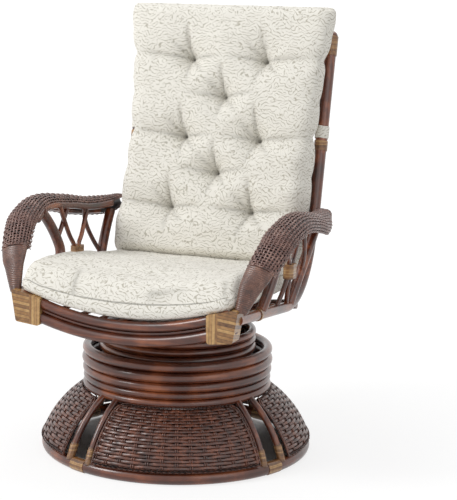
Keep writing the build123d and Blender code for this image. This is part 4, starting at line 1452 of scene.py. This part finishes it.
# ---- Studio ----
@dataclass
class Studio:
    """Camera, lamps, floor and backdrop, in metres, degrees and watts."""

    camera_at: tuple[float, float, float] = (1.305498, -3.215054, 1.069)
    camera_turn: tuple[float, float, float] = (80.257426, -1.310825, 20.425045)
    lens: float = 108.0
    aim: tuple[float, float, float] = (0.0, 0.0, 0.5)
    lamps: tuple[tuple[str, tuple[float, float, float], float, float], ...] = (
        ("key", (-2.7, -2.4, 3.0), 1.5, 96.0), ("fill", (3.0, -2.0, 1.7), 2.2, 14.0),
        ("top", (0.3, 1.2, 3.4), 2.2, 20.0))
    ambient: float = 0.5
    white: float = 1.12
    floor_size: float = 9.0
    floor_colour: str = "#F6F6F6"

    def add_camera(self) -> None:
        """Set the camera at the photograph's view."""
        data = bpy.data.cameras.new("view")
        data.lens = self.lens
        data.sensor_width = 36.0
        data.sensor_fit = "AUTO"
        eye = bpy.data.objects.new("view", data)
        eye.location = self.camera_at
        eye.rotation_euler = Euler([math.radians(a) for a in self.camera_turn])
        bpy.context.collection.objects.link(eye)
        bpy.context.scene.camera = eye

    def add_lamps(self) -> None:
        """Add the soft lamps, aimed at the chair."""
        for name, at, size, power in self.lamps:
            data = bpy.data.lights.new(name, "AREA")
            data.size = size
            data.energy = power
            lamp = bpy.data.objects.new(name, data)
            lamp.location = at
            towards = Vector(self.aim) - Vector(at)
            lamp.rotation_euler = towards.to_track_quat("-Z", "Y").to_euler()
            bpy.context.collection.objects.link(lamp)

    def show_white(self, tree: Tree, output: str, other: bpy.types.Node,
                   share: float | bpy.types.Node, kind: str) -> None:
        """Mix a shader with white light where the camera or a reflection sees it.

        Args:
            tree: the node tree.
            output: the type of its output node.
            other: the shader that lights the chair.
            share: how much of what is seen is white.
            kind: the type of the white shader.
        """
        path = add_node(tree, "LightPath").outputs
        seen = add_node(tree, "Math", {0: path["Is Camera Ray"], 1: path["Is Glossy Ray"]},
                        operation="MAXIMUM")
        seen = add_node(tree, "Math", {0: seen, 1: path["Is Transmission Ray"]},
                        operation="MAXIMUM")
        amount = add_node(tree, "Math", {0: seen, 1: share}, operation="MULTIPLY")
        white = add_node(tree, kind, {0: (1, 1, 1, 1), 1: self.white})
        shown = add_node(tree, "MixShader", {0: amount, 1: other, 2: white})
        add_node(tree, output, {0: shown})

    def add_world(self) -> None:
        """Light the chair evenly from all round, before a white backdrop."""
        world = bpy.data.worlds.new("studio")
        bpy.context.scene.world = world
        world.use_nodes = True
        tree = world.node_tree
        tree.nodes.clear()
        dim = add_node(tree, "Background", {0: (1, 1, 1, 1), 1: self.ambient})
        self.show_white(tree, "OutputWorld", dim, 1.0, "Background")

    def add_floor(self) -> None:
        """Lay a floor that keeps the chair's shadow and fades to white with distance.

        Inside the floor ring it is shown as dark as it is.
        """
        bm = bmesh.new()
        bmesh.ops.create_grid(bm, x_segments=1, y_segments=1, size=self.floor_size)
        mesh = bpy.data.meshes.new("floor")
        bm.to_mesh(mesh)
        bm.free()
        floor = bpy.data.objects.new("floor", mesh)
        bpy.context.collection.objects.link(floor)
        material = bpy.data.materials.new("floor_white")
        material.use_nodes = True
        tree = material.node_tree
        tree.nodes.clear()
        matte = add_node(tree, "BsdfDiffuse", {0: linear(self.floor_colour)})
        place = add_node(tree, "TexCoord").outputs["Object"]
        away = add_node(tree, "VectorMath", {0: place}, operation="LENGTH").outputs["Value"]
        near = add_node(tree, "MapRange", {0: away, 1: 0.28, 2: 0.31, 3: 0.0, 4: 0.68})
        far = add_node(tree, "MapRange", {0: away, 1: 0.5, 2: 2.2, 3: 0.0, 4: 0.32})
        share = add_node(tree, "Math", {0: near, 1: far}, operation="ADD")
        self.show_white(tree, "OutputMaterial", matte, share, "Emission")
        mesh.materials.append(material)

    def build(self) -> None:
        """Build the studio."""
        self.add_camera()
        self.add_lamps()
        self.add_world()
        self.add_floor()
        bpy.context.scene.view_settings.view_transform = "Standard"


def main() -> None:
    """Build the chair's looks and the studio."""
    logging.basicConfig(level=logging.INFO, format="%(message)s")
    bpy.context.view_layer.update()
    FrameDress(frame["nodes"]).build()
    # a near-black sheet behind each weave is painted shade for the dark inside it
    shade = Strand("weave_shade", dark="#0D0605", middle="#1A0C09", light="#241310").build()
    skirt = Strand("skirt_strand", dark="#200C07", middle="#4E2616", light="#864E36").build()
    arm = Strand("arm_strand", dark="#2E1812", middle="#684238", light="#9A786C").build()
    wrap = Strand("wrap_strand", dark="#32190F", middle="#653C2C", light="#8E6552").build()
    WovenSkirt().build(skirt, shade)
    CoilSprings().build(PlatedSteel("spring_steel").build())
    WovenArm().build(arm, wrap, shade)
    cloth = SquiggleCloth("squiggle_cloth").build()
    SeatCushion().build(cloth)
    BackCushion().build(cloth)
    Straps().build(cloth)
    Studio().build()


if __name__ == "__main__":
    main()
